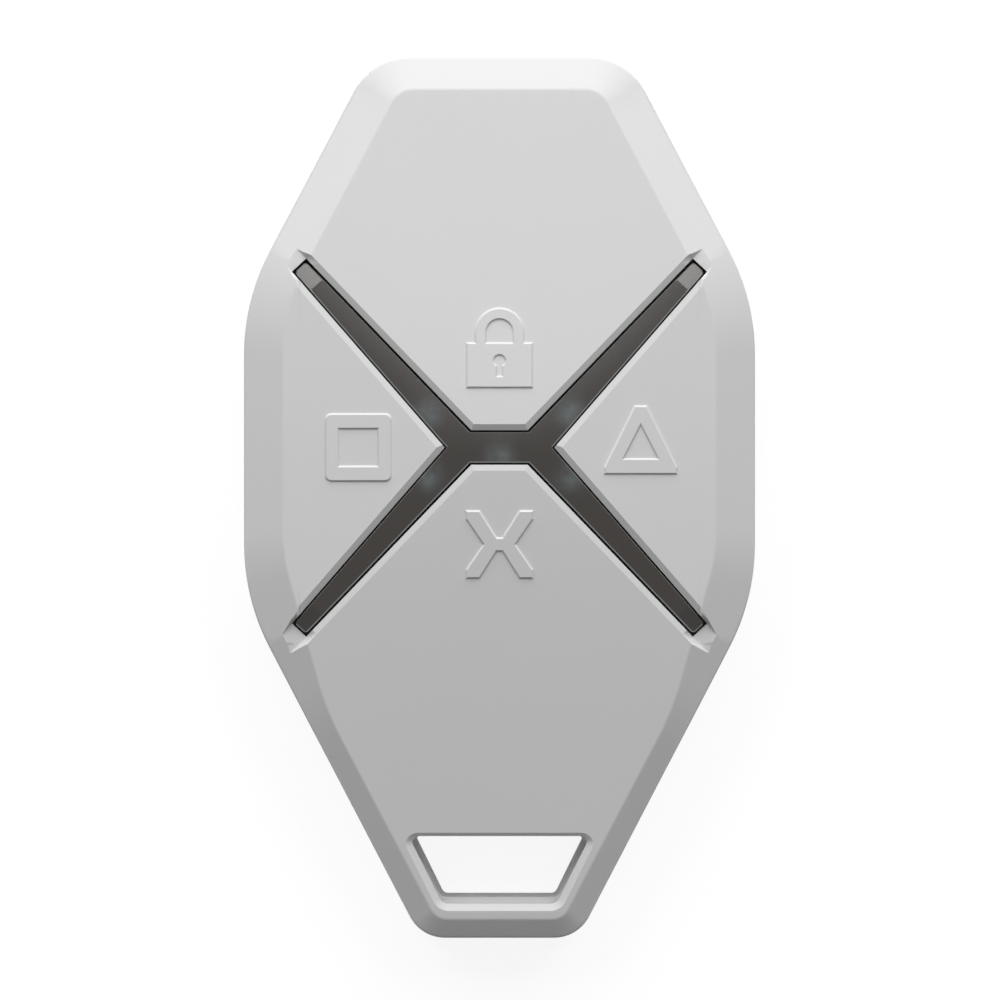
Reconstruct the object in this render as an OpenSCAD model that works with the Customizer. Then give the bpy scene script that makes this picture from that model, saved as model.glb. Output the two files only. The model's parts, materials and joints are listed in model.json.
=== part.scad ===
// Alarm key fob with four flexing keys around a lit X slot, lying on its back.
// X runs across the fob, Y runs from the strap hole to the far end, Z comes out of the front.

/* [Casing outline] */
// Length of the casing, from the strap end to the far end
body_len = 65; // [60:0.5:75]
// Width of the casing across its straight sides
body_w = 37.7; // [36:0.1:44]
// Width of the far end between its sharp corners
far_end_w = 18.84; // [14:0.1:22]
// Width of the strap end between its sharp corners
strap_end_w = 11.6; // [11:0.1:16]
// Length of the slanting sides at the far end
far_taper_len = 18; // [15:0.1:20]
// Length of the slanting sides at the strap end
strap_taper_len = 25.05; // [22:0.1:28]
// Corner radius at the far end
far_corner_r = 4.8; // [3:0.1:6]
// Corner radius where the sides start to slant
side_corner_r = 16.3; // [10:0.1:20]
// Corner radius at the strap end
strap_corner_r = 2.9; // [2:0.1:3.5]

/* [Casing section] */
// Height of the ridge in the middle of the front above the back
ridge_h = 11; // [9.9:0.1:13]
// Half length of the ridge that runs across the middle
ridge_half = 2.37; // [1.5:0.01:3]
// Slope of the far and strap facets at the ridge, in degrees
long_slope = 5; // [4:0.1:6]
// Slope of the two side facets, in degrees
side_slope = 5.42; // [4:0.01:6]
// Radius of the lengthwise bow of all four facets
bow_r = 380; // [300:10:600]
// Slope of the bevel round the front, in degrees
bevel_slope = 32; // [25:1:40]
// Bevel width in plan at the far end
far_bevel_w = 2.49; // [1.5:0.01:3]
// Bevel width in plan along the slanting sides at the far end
far_slant_bevel_w = 2.88; // [1.5:0.01:3.2]
// Bevel width in plan along the straight sides
side_bevel_w = 2.87; // [1.5:0.01:3.2]
// Bevel width in plan along the slanting sides at the strap end
strap_slant_bevel_w = 1.66; // [1:0.01:2.2]
// Bevel width in plan at the strap end
strap_bevel_w = 1.4; // [1:0.01:1.8]
// Corner radius of the crease at the far end
far_crease_r = 1.85; // [1:0.05:3]
// Corner radius of the crease where the sides start to slant at the far end
far_side_crease_r = 14; // [10:0.5:18]
// Corner radius of the crease where the sides start to slant at the strap end
strap_side_crease_r = 24; // [14:0.5:27]
// Corner radius of the crease at the strap end
strap_crease_r = 1.35; // [0.8:0.05:2]
// Height of the parting line between the two covers
parting_h = 4; // [3.5:0.1:4.4]
// Width and height of the bevel round the back
rear_bevel = 1.5; // [0.8:0.1:1.9]
// Side wall of the front cover
wall = 1.6; // [1.4:0.1:1.8]
// Thickness of the front panel
front_t = 1.4; // [1.2:0.05:1.6]
// Thickness of the rear cover's floor
floor_t = 1.1; // [1:0.05:1.3]
// Thickness of the rear cover's lip
lip_t = 0.8; // [0.6:0.05:1]

/* [X slot and keys] */
// Distance from the far end to the middle of the X
cross_from_far_end = 28.85; // [27:0.05:30]
// Height of the short bar in the middle of the X
slot_bar_h = 2.52; // [2:0.02:3]
// Length of that bar along the far and strap keys
slot_bar_w = 4.12; // [3:0.02:5]
// Distance between the inner tips of the side keys
slot_tip_w = 8; // [7:0.1:9]
// Distance from the casing's side to the end of an arm's edge at a side key
side_edge_inset = 3.65; // [3.4:0.05:4.5]
// Rise of that edge above the middle of the X
side_edge_rise = 12.88; // [12:0.02:13.2]
// Distance from the casing's side to the end of an arm's edge at a far or strap key
long_edge_inset = 4.69; // [4.4:0.01:5.5]
// Rise of that edge above the middle of the X
long_edge_rise = 13.85; // [13.4:0.01:14.4]
// Width in plan of the chamfer along the X slot
chamfer_w = 0.44; // [0.3:0.02:0.6]
// Depth of that chamfer
chamfer_d = 0.5; // [0.3:0.02:0.7]
// How far the trough runs on past the end of each arm
run_out = 1.25; // [0.8:0.05:1.4]
// Depth of the trough's floor at the end of each arm
trough_d = 0.5; // [0.3:0.05:0.6]
// Distance from the end of an arm's edge to the key's hinge line
hinge_setback = 0.57; // [0.4:0.01:0.8]
// Hairline gap along each hinge line
hinge_gap = 0.05; // [0.03:0.01:0.1]
// Thickness of the skin left at each hinge line
hinge_skin = 0.35; // [0.25:0.05:0.5]
// Half width of the groove under each hinge line
hinge_relief = 0.8; // [0.6:0.05:1]
// Radius of the post under each key
post_r = 0.8; // [0.6:0.05:1]
// Gap between a key's post and its switch
press_gap = 0.08; // [0.06:0.01:0.12]

/* [Signs on the keys] */
// Height of the raised signs
sign_h = 0.22; // [0.1:0.02:0.3]
// Distance of the far and strap signs from the middle of the X
long_sign_at = 7.2; // [6.5:0.05:7.6]
// Distance of the side signs from the middle of the X
side_sign_at = 10.43; // [9.8:0.01:10.8]
// Width of the square sign
square_sign_w = 4.9; // [4:0.1:5.2]
// Line width of the outlined signs
sign_line = 0.98; // [0.7:0.02:1.2]
// Height of the triangle sign
triangle_sign_h = 5.09; // [4:0.01:5.4]
// Base width of the triangle sign
triangle_sign_w = 5.5; // [4.5:0.1:5.8]
// Height of the crossed sign
crossed_sign_h = 5.02; // [4:0.02:5.4]
// Width of the crossed sign
crossed_sign_w = 4.66; // [4:0.02:5]
// Width of the padlock sign
padlock_sign_w = 4.8; // [4:0.1:5]
// Height of the padlock sign
padlock_sign_h = 5.8; // [5:0.1:6]

/* [Strap hole] */
// Distance from the strap end to the hole
strap_hole_inset = 2.5; // [2:0.05:3]
// Length of the hole along the fob
strap_hole_len = 5; // [4.5:0.1:5.5]
// Width of the hole on its strap-end side
strap_hole_near_w = 8.4; // [8:0.1:9]
// Width of the hole on its far side
strap_hole_far_w = 13.4; // [11:0.1:13.6]
// Corner radius of the hole
strap_hole_r = 0.8; // [0.5:0.05:1.2]
// Chamfer round the hole at the front
strap_hole_chamfer = 0.5; // [0.3:0.05:0.6]
// Wall of the sleeve round the hole
sleeve_t = 1.2; // [0.9:0.05:1.4]

/* [Light guide] */
// Gap between the light guide and the X slot
guide_gap = 0.13; // [0.1:0.01:0.2]
// Depth of the light guide's face below the front
guide_recess = 0.5; // [0.3:0.05:0.7]
// Depth of the light guide below the underside of the panel at the ends of its arms
guide_drop = 0.45; // [0.3:0.05:0.6]
// Length of the slope at each end of the light guide
guide_ramp_len = 1.6; // [1.2:0.1:2]
// Extra depth that this slope reaches at its end
guide_ramp_d = 0.45; // [0.3:0.05:0.6]
// Radius of the pegs that pick up the light
guide_peg_r = 0.9; // [0.7:0.05:1.1]
// Width of the feet at the ends of the arms
guide_foot_w = 1; // [0.8:0.1:1.2]
// How far each foot reaches under the front panel
guide_foot_reach = 0.2; // [0.1:0.05:0.3]

/* [Electronics] */
// Thickness of the circuit board
board_t = 0.8; // [0.6:0.1:1]
// Reach of the board from the middle of the X towards both ends
board_reach = 22.8; // [21.5:0.1:23.5]
// Gap between the board's edge and the front cover's wall
board_gap = 0.25; // [0.2:0.05:0.4]
// Side of a switch base
switch_w = 5.2; // [4.8:0.1:5.2]
// Height of a switch with its frame
switch_h = 1.4; // [1.3:0.05:1.5]
// Thickness of a switch's sheet-metal frame
switch_frame_t = 0.3; // [0.2:0.05:0.35]
// Radius of a switch plunger
plunger_r = 1.2; // [1:0.05:1.4]
// Height of a plunger above its frame
plunger_proud = 0.45; // [0.4:0.01:0.5]
// Travel of a plunger
plunger_travel = 0.25; // [0.2:0.01:0.3]
// Width of the flange that holds a plunger in its switch
flange_w = 0.4; // [0.3:0.05:0.5]
// Height of that flange
flange_h = 0.3; // [0.2:0.05:0.35]
// Distance of the far and strap switches from the middle of the X
long_switch_at = 7; // [6.8:0.05:7.6]
// Distance of the side switches from the middle of the X
side_switch_at = 9.5; // [9.2:0.05:9.8]
// Place across the fob of the four outer lamps
lamp_x = 4.9; // [4.6:0.1:5.1]
// Place along the fob of the four outer lamps, from the middle of the X
lamp_y = 2.8; // [2.6:0.1:3]
// Length of a lamp
lamp_len = 1.6; // [1.2:0.1:1.8]
// Width of a lamp
lamp_w = 0.8; // [0.6:0.1:1]
// Height of a lamp
lamp_h = 0.6; // [0.4:0.05:0.7]
// Distance of the radio chip from the middle of the X
radio_at = 13.6; // [13:0.1:14]
// Distance of the control chip from the middle of the X
control_at = 13.6; // [13.4:0.1:14]
// Distance of the antenna's bar from the middle of the X
antenna_at = 20.4; // [19:0.1:20.6]
// Side of the radio chip
radio_w = 5; // [4:0.1:5.5]
// Width of the control chip's body
control_w = 6.5; // [5:0.1:7]
// Depth of the control chip's body
control_d = 4.4; // [4:0.1:5]
// Height of both chips
chip_h = 0.9; // [0.7:0.05:1]
// Pitch of the control chip's leads
lead_pitch = 0.65; // [0.5:0.05:0.8]
// Leads on each side of the control chip
lead_count = 10; // [4:1:10]
// Length of the crystal
crystal_len = 3.2; // [2.5:0.1:4]
// Width of the crystal
crystal_w = 2.5; // [2:0.1:3]
// Length of a small chip component
chip_part_len = 1; // [0.6:0.1:1.2]
// Width and height of a small chip component
chip_part_w = 0.5; // [0.3:0.05:0.6]
// Span of the antenna across the board
antenna_span = 17; // [14:0.5:18]
// Depth of the antenna along the board
antenna_depth = 5.5; // [4:0.25:6]
// Small chip components in each row beside a chip
chip_part_count = 3; // [1:1:4]
// Pitch of the small chip components
chip_part_pitch = 1.3; // [1:0.05:1.4]
// Width of the antenna strip
antenna_w = 1; // [0.8:0.1:1.4]
// Thickness of the antenna strip
antenna_t = 0.3; // [0.2:0.05:0.4]

/* [Coin cell] */
// Diameter of the coin cell
cell_d = 20; // [19.5:0.1:20.4]
// Height of the coin cell
cell_h = 3.2; // [2.5:0.1:3.2]
// Height between the cell and the board, for the contact
contact_h = 0.6; // [0.5:0.05:0.7]
// Sheet thickness of the contacts
contact_t = 0.25; // [0.15:0.05:0.3]
// Width of the contacts
contact_w = 5; // [4:0.1:6]
// Sheet thickness of the cell's can
can_t = 0.25; // [0.2:0.05:0.35]
// Width of the cell's seal ring
seal_w = 0.6; // [0.4:0.05:0.8]
// Depth of the step round the cell's cap
cap_step = 0.35; // [0.2:0.05:0.5]
// Gap between the cell and its pocket
pocket_gap = 0.15; // [0.1:0.05:0.25]
// Gap between the layers of the cell
cell_fit = 0.02; // [0.01:0.01:0.03]
// Gap between the positive clip and the cell's edge
clip_gap = 0.03; // [0.02:0.01:0.05]
// Wall of the cell pocket
pocket_t = 0.8; // [0.6:0.1:1]
// Height of the cell pocket's wall
pocket_h = 2; // [1.5:0.1:2.5]

/* [Screws] */
// Distance of the single screw from the far end
far_screw_inset = 5.5; // [5:0.1:6]
// Distance of the two screws from the strap end
strap_screw_inset = 13; // [12.5:0.1:14]
// Distance between those two screws
strap_screw_span = 14; // [12:0.1:14.4]
// Thread diameter of the screws
screw_d = 2; // [1.6:0.1:2.2]
// Length of the screws under the head
screw_len = 5; // [4.6:0.1:5.1]
// Head diameter of the screws
screw_head_d = 3.6; // [3:0.1:3.8]
// Head height of the screws
screw_head_h = 1.1; // [0.9:0.05:1.2]
// Depth of the screw heads below the back
screw_sunk = 0.4; // [0.2:0.05:0.5]
// Wall round each screw
screw_wall = 0.95; // [0.7:0.05:1.1]
// Width of the cross recess in each screw head
recess_w = 0.5; // [0.4:0.05:0.6]

/* [Clearances] */
// Gap between the lip and the front cover's wall
lip_gap = 0.1; // [0.05:0.01:0.15]
// Gap round a screw and its head
screw_gap = 0.15; // [0.1:0.05:0.25]
// Gap round a screw's thread in its post
thread_gap = 0.02; // [0.01:0.01:0.03]
// Gap round a part that stands beside another on the board
part_gap = 0.3; // [0.2:0.05:0.4]
// Gap round a plunger in its frame
plunger_gap = 0.08; // [0.05:0.01:0.1]

/* [Hidden] */
$fn = 48;
corner_steps = 10;
edge_stations = 8;
eps = 0.01;
big = 2 * body_len;
cutter_reach = 2;
cutter_spare = 0.3;

far_y = body_len / 2;
strap_y = -body_len / 2;
cross_y = far_y - cross_from_far_end;
side_x = body_w / 2;

cell_top = floor_t + cell_h;
board_z = cell_top + contact_h;
board_top = board_z + board_t;
frame_z = board_top + switch_h - switch_frame_t;
plunger_top = board_top + switch_h + plunger_proud;
plunger_z = frame_z - plunger_gap - flange_h;
post_z = plunger_top + press_gap;

// Corners of the casing's plan, anticlockwise from the right of the strap end
casing_corners = [
    [strap_end_w / 2, strap_y],
    [side_x, strap_y + strap_taper_len],
    [side_x, far_y - far_taper_len],
    [far_end_w / 2, far_y],
    [-far_end_w / 2, far_y],
    [-side_x, far_y - far_taper_len],
    [-side_x, strap_y + strap_taper_len],
    [-strap_end_w / 2, strap_y],
];
casing_radii = [
    strap_corner_r, side_corner_r, side_corner_r, far_corner_r,
    far_corner_r, side_corner_r, side_corner_r, strap_corner_r,
];
bevel_widths = [
    strap_slant_bevel_w, side_bevel_w, far_slant_bevel_w, far_bevel_w,
    far_slant_bevel_w, side_bevel_w, strap_slant_bevel_w, strap_bevel_w,
];
crease_radii = [
    strap_crease_r, strap_side_crease_r, far_side_crease_r, far_crease_r,
    far_crease_r, far_side_crease_r, strap_side_crease_r, strap_crease_r,
];

// Ends of one arm's two edges, from the middle of the X
long_edge_end = [side_x - long_edge_inset, long_edge_rise];
side_edge_end = [side_x - side_edge_inset, side_edge_rise];
long_edge_start = [slot_bar_w / 2, slot_bar_h / 2];
side_edge_start = [slot_tip_w / 2, 0];
arm_end = (long_edge_end + side_edge_end) / 2;
arm_start = (long_edge_start + side_edge_start) / 2;
arm_dir = (arm_end - arm_start) / norm(arm_end - arm_start);
arm_end_w = norm(long_edge_end - side_edge_end);
arm_angle = atan2(arm_dir.y, arm_dir.x);

// Hinge lines, as distances from the middle of the X
long_hinge_at = long_edge_rise - hinge_setback;
side_hinge_at = side_edge_end.x - hinge_setback;

screw_spots = [
    [0, far_y - far_screw_inset],
    [strap_screw_span / 2, strap_y + strap_screw_inset],
    [-strap_screw_span / 2, strap_y + strap_screw_inset],
];
screw_post_r = screw_d / 2 + thread_gap + screw_wall;
rear_post_r = screw_head_d / 2 + screw_gap + screw_wall;
screw_seat_z = screw_sunk + screw_head_h;
screw_tip_z = screw_seat_z + screw_len;

strap_hole_y = strap_y + strap_hole_inset;
strap_hole_corners = [
    [strap_hole_near_w / 2, strap_hole_y],
    [strap_hole_far_w / 2, strap_hole_y + strap_hole_len],
    [-strap_hole_far_w / 2, strap_hole_y + strap_hole_len],
    [-strap_hole_near_w / 2, strap_hole_y],
];
sleeve_end_y = strap_hole_y + strap_hole_len + sleeve_t;

shell_colour = [0.80, 0.80, 0.79];
sign_colour = [0.83, 0.83, 0.82];
guide_colour = [0.27, 0.26, 0.25];
board_colour = [0.10, 0.28, 0.16];
black_colour = [0.10, 0.10, 0.11];
steel_colour = [0.72, 0.73, 0.74];
brass_colour = [0.78, 0.66, 0.36];
lamp_colour = [0.92, 0.92, 0.85];
ceramic_colour = [0.62, 0.52, 0.40];
seal_colour = [0.20, 0.20, 0.22];

// Plan geometry

function wrapped(points, i) = points[(i + len(points)) % len(points)];
function edge_normal(a, b) = let (d = b - a) [-d.y, d.x] / norm(d);

// Corner at p after the edges a-p and p-b have moved inwards by d1 and d2
function inset_corner(a, p, b, d1, d2) =
    let (n1 = edge_normal(a, p), n2 = edge_normal(p, b))
    let (c1 = n1 * p + d1, c2 = n2 * p + d2, det = n1.x * n2.y - n1.y * n2.x)
    [(c1 * n2.y - c2 * n1.y) / det, (n1.x * c2 - n2.x * c1) / det];

function inset(points, depths) = [
    for (i = [0:len(points) - 1])
        inset_corner(wrapped(points, i - 1), points[i], wrapped(points, i + 1),
            wrapped(depths, i - 1), depths[i])
];
function inset_all(points, depth) = inset(points, [for (p = points) depth]);

function corner_arc(a, p, b, r) =
    let (u = (a - p) / norm(a - p), v = (b - p) / norm(b - p))
    let (half = acos(u * v) / 2, centre = p + (u + v) / norm(u + v) * r / sin(half))
    let (first = p + u * r / tan(half) - centre, start = atan2(first.y, first.x))
    [
        for (k = [0:corner_steps])
            let (angle = start + (180 - 2 * half) * k / corner_steps)
                centre + r * [cos(angle), sin(angle)]
    ];
function rounded(points, radii) = [
    for (i = [0:len(points) - 1])
        each corner_arc(wrapped(points, i - 1), points[i], wrapped(points, i + 1), radii[i])
];
function casing_plan(depth) = rounded(inset_all(casing_corners, depth),
    [for (r = casing_radii) max(r - depth, r / 2)]);
function strap_hole_plan(grow) = rounded(inset_all(strap_hole_corners, -grow),
    [for (p = strap_hole_corners) strap_hole_r + grow]);
function at_height(points, z) = [for (p = points) [p.x, p.y, z]];

// Heights of the front, measured from the middle of the X

function long_z(p) = ridge_h - bow_r * cos(long_slope)
    + sqrt(bow_r ^ 2 - (abs(p.y) + bow_r * sin(long_slope)) ^ 2);
function side_z(p) = ridge_h - (bow_r - sqrt(bow_r ^ 2 - p.y ^ 2)) / cos(side_slope)
    - (abs(p.x) - ridge_half) * tan(side_slope);
function front_z(p) = min(long_z(p), side_z(p));
function casing_front_z(p) = front_z([p.x, p.y - cross_y]);

// Solid skinned over matching rings, closed at a base point and a crown point
module skin(rings, base, crown) {
    n = len(rings[0]);
    last = (len(rings) - 1) * n;
    points = concat([for (ring = rings) each ring], [base, crown]);
    sides = [
        for (row = [0:len(rings) - 2], i = [0:n - 1])
            let (a = row * n + i, b = row * n + (i + 1) % n)
                each [[a, a + n, b + n], [a, b + n, b]]
    ];
    base_fan = [for (i = [0:n - 1]) [i, (i + 1) % n, last + n]];
    crown_fan = [for (i = [0:n - 1]) [last + i, last + n + 1, last + (i + 1) % n]];
    polyhedron(points, concat(sides, base_fan, crown_fan));
}

// Solid carried along a row of like sections
module sweep(sections) {
    first = sections[0];
    end = sections[len(sections) - 1];
    corners = len(first);
    ones = [for (p = first) 1];
    skin(sections, ones * first / corners, ones * end / corners);
}

// Points from p to q, drawn out by reach at both ends
function stations(p, q, reach) =
    let (step = (q - p) / norm(q - p), from = p - step * reach, to = q + step * reach)
    [for (k = [0:edge_stations]) from + (to - from) * k / edge_stations];

// Cutter that chamfers an edge of the X slot along p to q, with the plastic on its left
module edge_cut(p, q, level) {
    n = edge_normal(p, q);
    slope = chamfer_d / chamfer_w;
    sweep([
        for (s = stations(p, q, cutter_reach))
            let (outer = s - n * cutter_spare, inner = s + n * (chamfer_w + cutter_spare))
            let (low = level(s) - chamfer_d - cutter_spare * slope)
            let (high = level(s + n * chamfer_w) + cutter_spare * slope)
                [[outer.x, outer.y, low], [inner.x, inner.y, high], [outer.x, outer.y, high + front_t]]
    ]);
}

// Groove under a hinge line from p to q
module hinge_groove(p, q, level) {
    n = edge_normal(p, q) * hinge_relief;
    sweep([
        for (s = stations(p, q, hinge_setback))
            let (low = level(s) - front_t - cutter_spare, apex = level(s) - hinge_skin)
                [[s.x - n.x, s.y - n.y, low], [s.x + n.x, s.y + n.y, low], [s.x, s.y, apex]]
    ]);
}

module long_facet(side) {
    translate([-big / 2, -side * bow_r * sin(long_slope), ridge_h - bow_r * cos(long_slope)])
        rotate([0, 90, 0])
            cylinder(r = bow_r, h = big, $fn = 720);
}

module side_facet(side) {
    translate([side * ridge_half, 0, ridge_h])
        rotate([0, side * side_slope, 0])
            translate([-big / 2, 0, -bow_r])
                rotate([0, 90, 0])
                    cylinder(r = bow_r, h = big, $fn = 720);
}

// Four facets of the front about the middle of the X, lowered by drop
module roof(drop = 0) {
    translate([0, 0, -drop])
        intersection() {
            long_facet(1);
            long_facet(-1);
            side_facet(1);
            side_facet(-1);
        }
}

// Outer form of the front cover, from the parting line up, lowered by drop
module front_form(drop = 0) {
    overrun = 1.35;
    outer = casing_plan(0);
    crease = rounded(inset(casing_corners, bevel_widths), crease_radii);
    rise = [for (i = [0:len(outer) - 1]) norm(outer[i] - crease[i]) * tan(bevel_slope)];
    edge = [
        for (i = [0:len(outer) - 1])
            [outer[i].x, outer[i].y, casing_front_z(crease[i]) - rise[i]]
    ];
    inner = [
        for (i = [0:len(outer) - 1])
            let (p = outer[i] + (crease[i] - outer[i]) * overrun)
                [p.x, p.y, edge[i].z + rise[i] * overrun]
    ];
    translate([0, 0, -drop])
        intersection() {
            skin([at_height(outer, parting_h), edge, inner],
                [0, 0, parting_h], [0, cross_y, ridge_h + front_t * 2]);
            translate([0, cross_y, 0])
                roof();
        }
}

module prism(points, z0, z1) {
    translate([0, 0, z0])
        linear_extrude(z1 - z0)
            polygon(points);
}

module about_cross() {
    translate([0, cross_y, 0])
        children();
}

module each_arm() {
    for (mx = [0, 1], my = [0, 1])
        mirror([mx, 0, 0])
            mirror([0, my, 0])
                children();
}

module each_switch() {
    for (spot = [[0, long_switch_at], [0, -long_switch_at], [side_switch_at, 0], [-side_switch_at, 0]])
        translate([spot.x, spot.y + cross_y, 0])
            children();
}

// Keys

// Outline of the far key, with its hinge line drawn in by half the gap
function long_key_plan(grow) =
    let (run = long_edge_end - long_edge_start, y = long_hinge_at + grow)
    let (x = long_edge_start.x + run.x * (y - long_edge_start.y) / run.y)
    [[-long_edge_start.x, long_edge_start.y], long_edge_start, [x, y], [-x, y]];

// Outline of the right key, with its hinge line drawn in by half the gap
function side_key_plan(grow) =
    let (run = side_edge_end - side_edge_start, x = side_hinge_at + grow)
    let (y = side_edge_start.y + run.y * (x - side_edge_start.x) / run.x)
    [side_edge_start, [x, -y], [x, y]];

// Opening in the front cover for the keys and the X
function window_plan() =
    let (far = long_key_plan(hinge_gap / 2)[2], side = side_key_plan(hinge_gap / 2)[2])
    let (quarter = [side, side_edge_end, long_edge_end, far])
    [
        each quarter,
        each [for (i = [3:-1:0]) [-quarter[i].x, quarter[i].y]],
        each [for (p = quarter) -p],
        each [for (i = [3:-1:0]) [quarter[i].x, -quarter[i].y]],
    ];

function slot_plan() = [
    side_edge_start, side_edge_end, long_edge_end, long_edge_start,
    [-long_edge_start.x, long_edge_start.y], [-long_edge_end.x, long_edge_end.y],
    [-side_edge_end.x, side_edge_end.y], -side_edge_start,
    -side_edge_end, -long_edge_end, -long_edge_start,
    [long_edge_start.x, -long_edge_start.y], [long_edge_end.x, -long_edge_end.y],
    [side_edge_end.x, -side_edge_end.y],
];

module key_panel(plan) {
    difference() {
        intersection() {
            roof();
            prism(plan, board_top, ridge_h + 1);
        }
        roof(front_t);
    }
}

module key_post(spot) {
    translate([spot.x, spot.y, post_z])
        cylinder(r = post_r, h = front_z(spot) - front_t / 2 - post_z);
}

// Raised sign on the front, rooted half way into the panel at its centre
module sign_relief(centre) {
    root = front_z(centre) - front_t / 2;
    intersection() {
        roof(-sign_h);
        translate([centre.x, centre.y, root])
            linear_extrude(ridge_h + 1 - root)
                children();
    }
}

// Key on the far side of the X, about the middle of the X
module long_key() {
    plan = long_key_plan(-hinge_gap / 2);
    height = function (p) long_z(p);
    difference() {
        union() {
            key_panel(plan);
            key_post([0, long_switch_at]);
        }
        edge_cut(plan[0], plan[1], height);
        edge_cut(plan[1], plan[2], height);
        edge_cut(plan[3], plan[0], height);
        hinge_groove([plan[2].x, long_hinge_at], [plan[3].x, long_hinge_at], height);
    }
}

// Key on the right of the X, about the middle of the X
module side_key() {
    plan = side_key_plan(-hinge_gap / 2);
    height = function (p) side_z(p);
    difference() {
        union() {
            key_panel(plan);
            key_post([side_switch_at, 0]);
        }
        edge_cut(plan[0], plan[1], height);
        edge_cut(plan[2], plan[0], height);
        hinge_groove([side_hinge_at, plan[1].y], [side_hinge_at, plan[2].y], height);
    }
}

// Closed padlock with a keyhole
module padlock_sign() {
    body_h = padlock_sign_h * 0.56;
    shackle_r = padlock_sign_w * 0.37;
    low = -padlock_sign_h / 2;
    spring_y = padlock_sign_h / 2 - shackle_r;
    hole_r = sign_line * 0.45;
    difference() {
        union() {
            translate([-padlock_sign_w / 2, low])
                square([padlock_sign_w, body_h]);
            translate([0, spring_y])
                circle(r = shackle_r);
            translate([-shackle_r, low])
                square([2 * shackle_r, spring_y - low]);
        }
        translate([0, spring_y])
            circle(r = shackle_r - sign_line * 0.8);
        translate([-shackle_r + sign_line * 0.8, low + body_h])
            square([2 * shackle_r - sign_line * 1.6, spring_y - low - body_h]);
        translate([0, low + body_h * 0.6])
            circle(r = hole_r);
        translate([-hole_r / 2, low + body_h * 0.25])
            square([hole_r, body_h * 0.35]);
    }
}

module square_sign() {
    difference() {
        square(square_sign_w, center = true);
        square(square_sign_w - 2 * sign_line, center = true);
    }
}

// Triangle with cut corners, its middle a little above the base's middle
module triangle_sign() {
    cut = sign_line / 2;
    base_y = -triangle_sign_h * 0.38;
    top_y = base_y + triangle_sign_h;
    half = triangle_sign_w / 2;
    outer = [[-half, base_y], [half, base_y], [half, base_y + cut], [cut, top_y],
        [-cut, top_y], [-half, base_y + cut]];
    peak = [[-half - cut, base_y], [half + cut, base_y], [0, top_y + cut]];
    difference() {
        polygon(outer);
        polygon(inset_all(peak, sign_line * 1.08));
    }
}

module crossed_sign() {
    half_w = crossed_sign_w / 2;
    half_h = crossed_sign_h / 2;
    end = half_w - sign_line * 0.9;
    waist = half_w / 2;
    notch = [sign_line * 0.24, sign_line * 0.42];
    quarter = [[waist, 0], [half_w, half_h], [end, half_h], notch];
    polygon([
        each quarter,
        each [for (i = [3:-1:1]) [-quarter[i].x, quarter[i].y]],
        each [for (i = [0:3]) -quarter[i]],
        each [for (i = [3:-1:1]) [quarter[i].x, -quarter[i].y]],
    ]);
}

module top_key() {
    about_cross() {
        color(shell_colour)
            long_key();
        color(sign_colour)
            sign_relief([0, long_sign_at])
                padlock_sign();
    }
}

module bottom_key() {
    about_cross() {
        color(shell_colour)
            mirror([0, 1, 0])
                long_key();
        color(sign_colour)
            sign_relief([0, -long_sign_at])
                crossed_sign();
    }
}

module right_key() {
    about_cross() {
        color(shell_colour)
            side_key();
        color(sign_colour)
            sign_relief([side_sign_at, 0])
                triangle_sign();
    }
}

module left_key() {
    about_cross() {
        color(shell_colour)
            mirror([1, 0, 0])
                side_key();
        color(sign_colour)
            sign_relief([-side_sign_at, 0])
                square_sign();
    }
}

// Covers

// Trough that carries one arm of the X on over the bevel, with the slot's chamfers beside it
module trough() {
    across = [-arm_dir.y, arm_dir.x] * arm_end_w / 2;
    overrun = 1.6;
    floor_z = front_z(arm_end) - trough_d;
    fall = run_out * tan(bevel_slope) * 0.6;
    start = arm_end - arm_dir * cutter_spare;
    end = arm_end + arm_dir * run_out * overrun;
    top_z = ridge_h + front_t;
    sweep([
        for (s = [[start, floor_z], [end, floor_z - fall * overrun]])
            let (right = s[0] - across, left = s[0] + across)
                [
                    [right.x, right.y, s[1]], [left.x, left.y, s[1]],
                    [left.x, left.y, top_z], [right.x, right.y, top_z],
                ]
    ]);
    edge_cut(long_edge_end, long_edge_end + arm_dir * run_out, function (p) long_z(p));
    edge_cut(side_edge_end + arm_dir * run_out, side_edge_end, function (p) side_z(p));
}

module strap_hole_cut() {
    prism(strap_hole_plan(0), -eps, ridge_h);
    mouth = strap_hole_plan(strap_hole_chamfer * 2);
    throat = strap_hole_plan(0);
    low = [for (p = throat) [p.x, p.y, casing_front_z(p) - strap_hole_chamfer]];
    high = [for (p = mouth) [p.x, p.y, casing_front_z(p) + strap_hole_chamfer]];
    middle = strap_hole_y + strap_hole_len / 2;
    skin([at_height(throat, parting_h), low, high], [0, middle, parting_h], [0, middle, ridge_h]);
}

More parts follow.
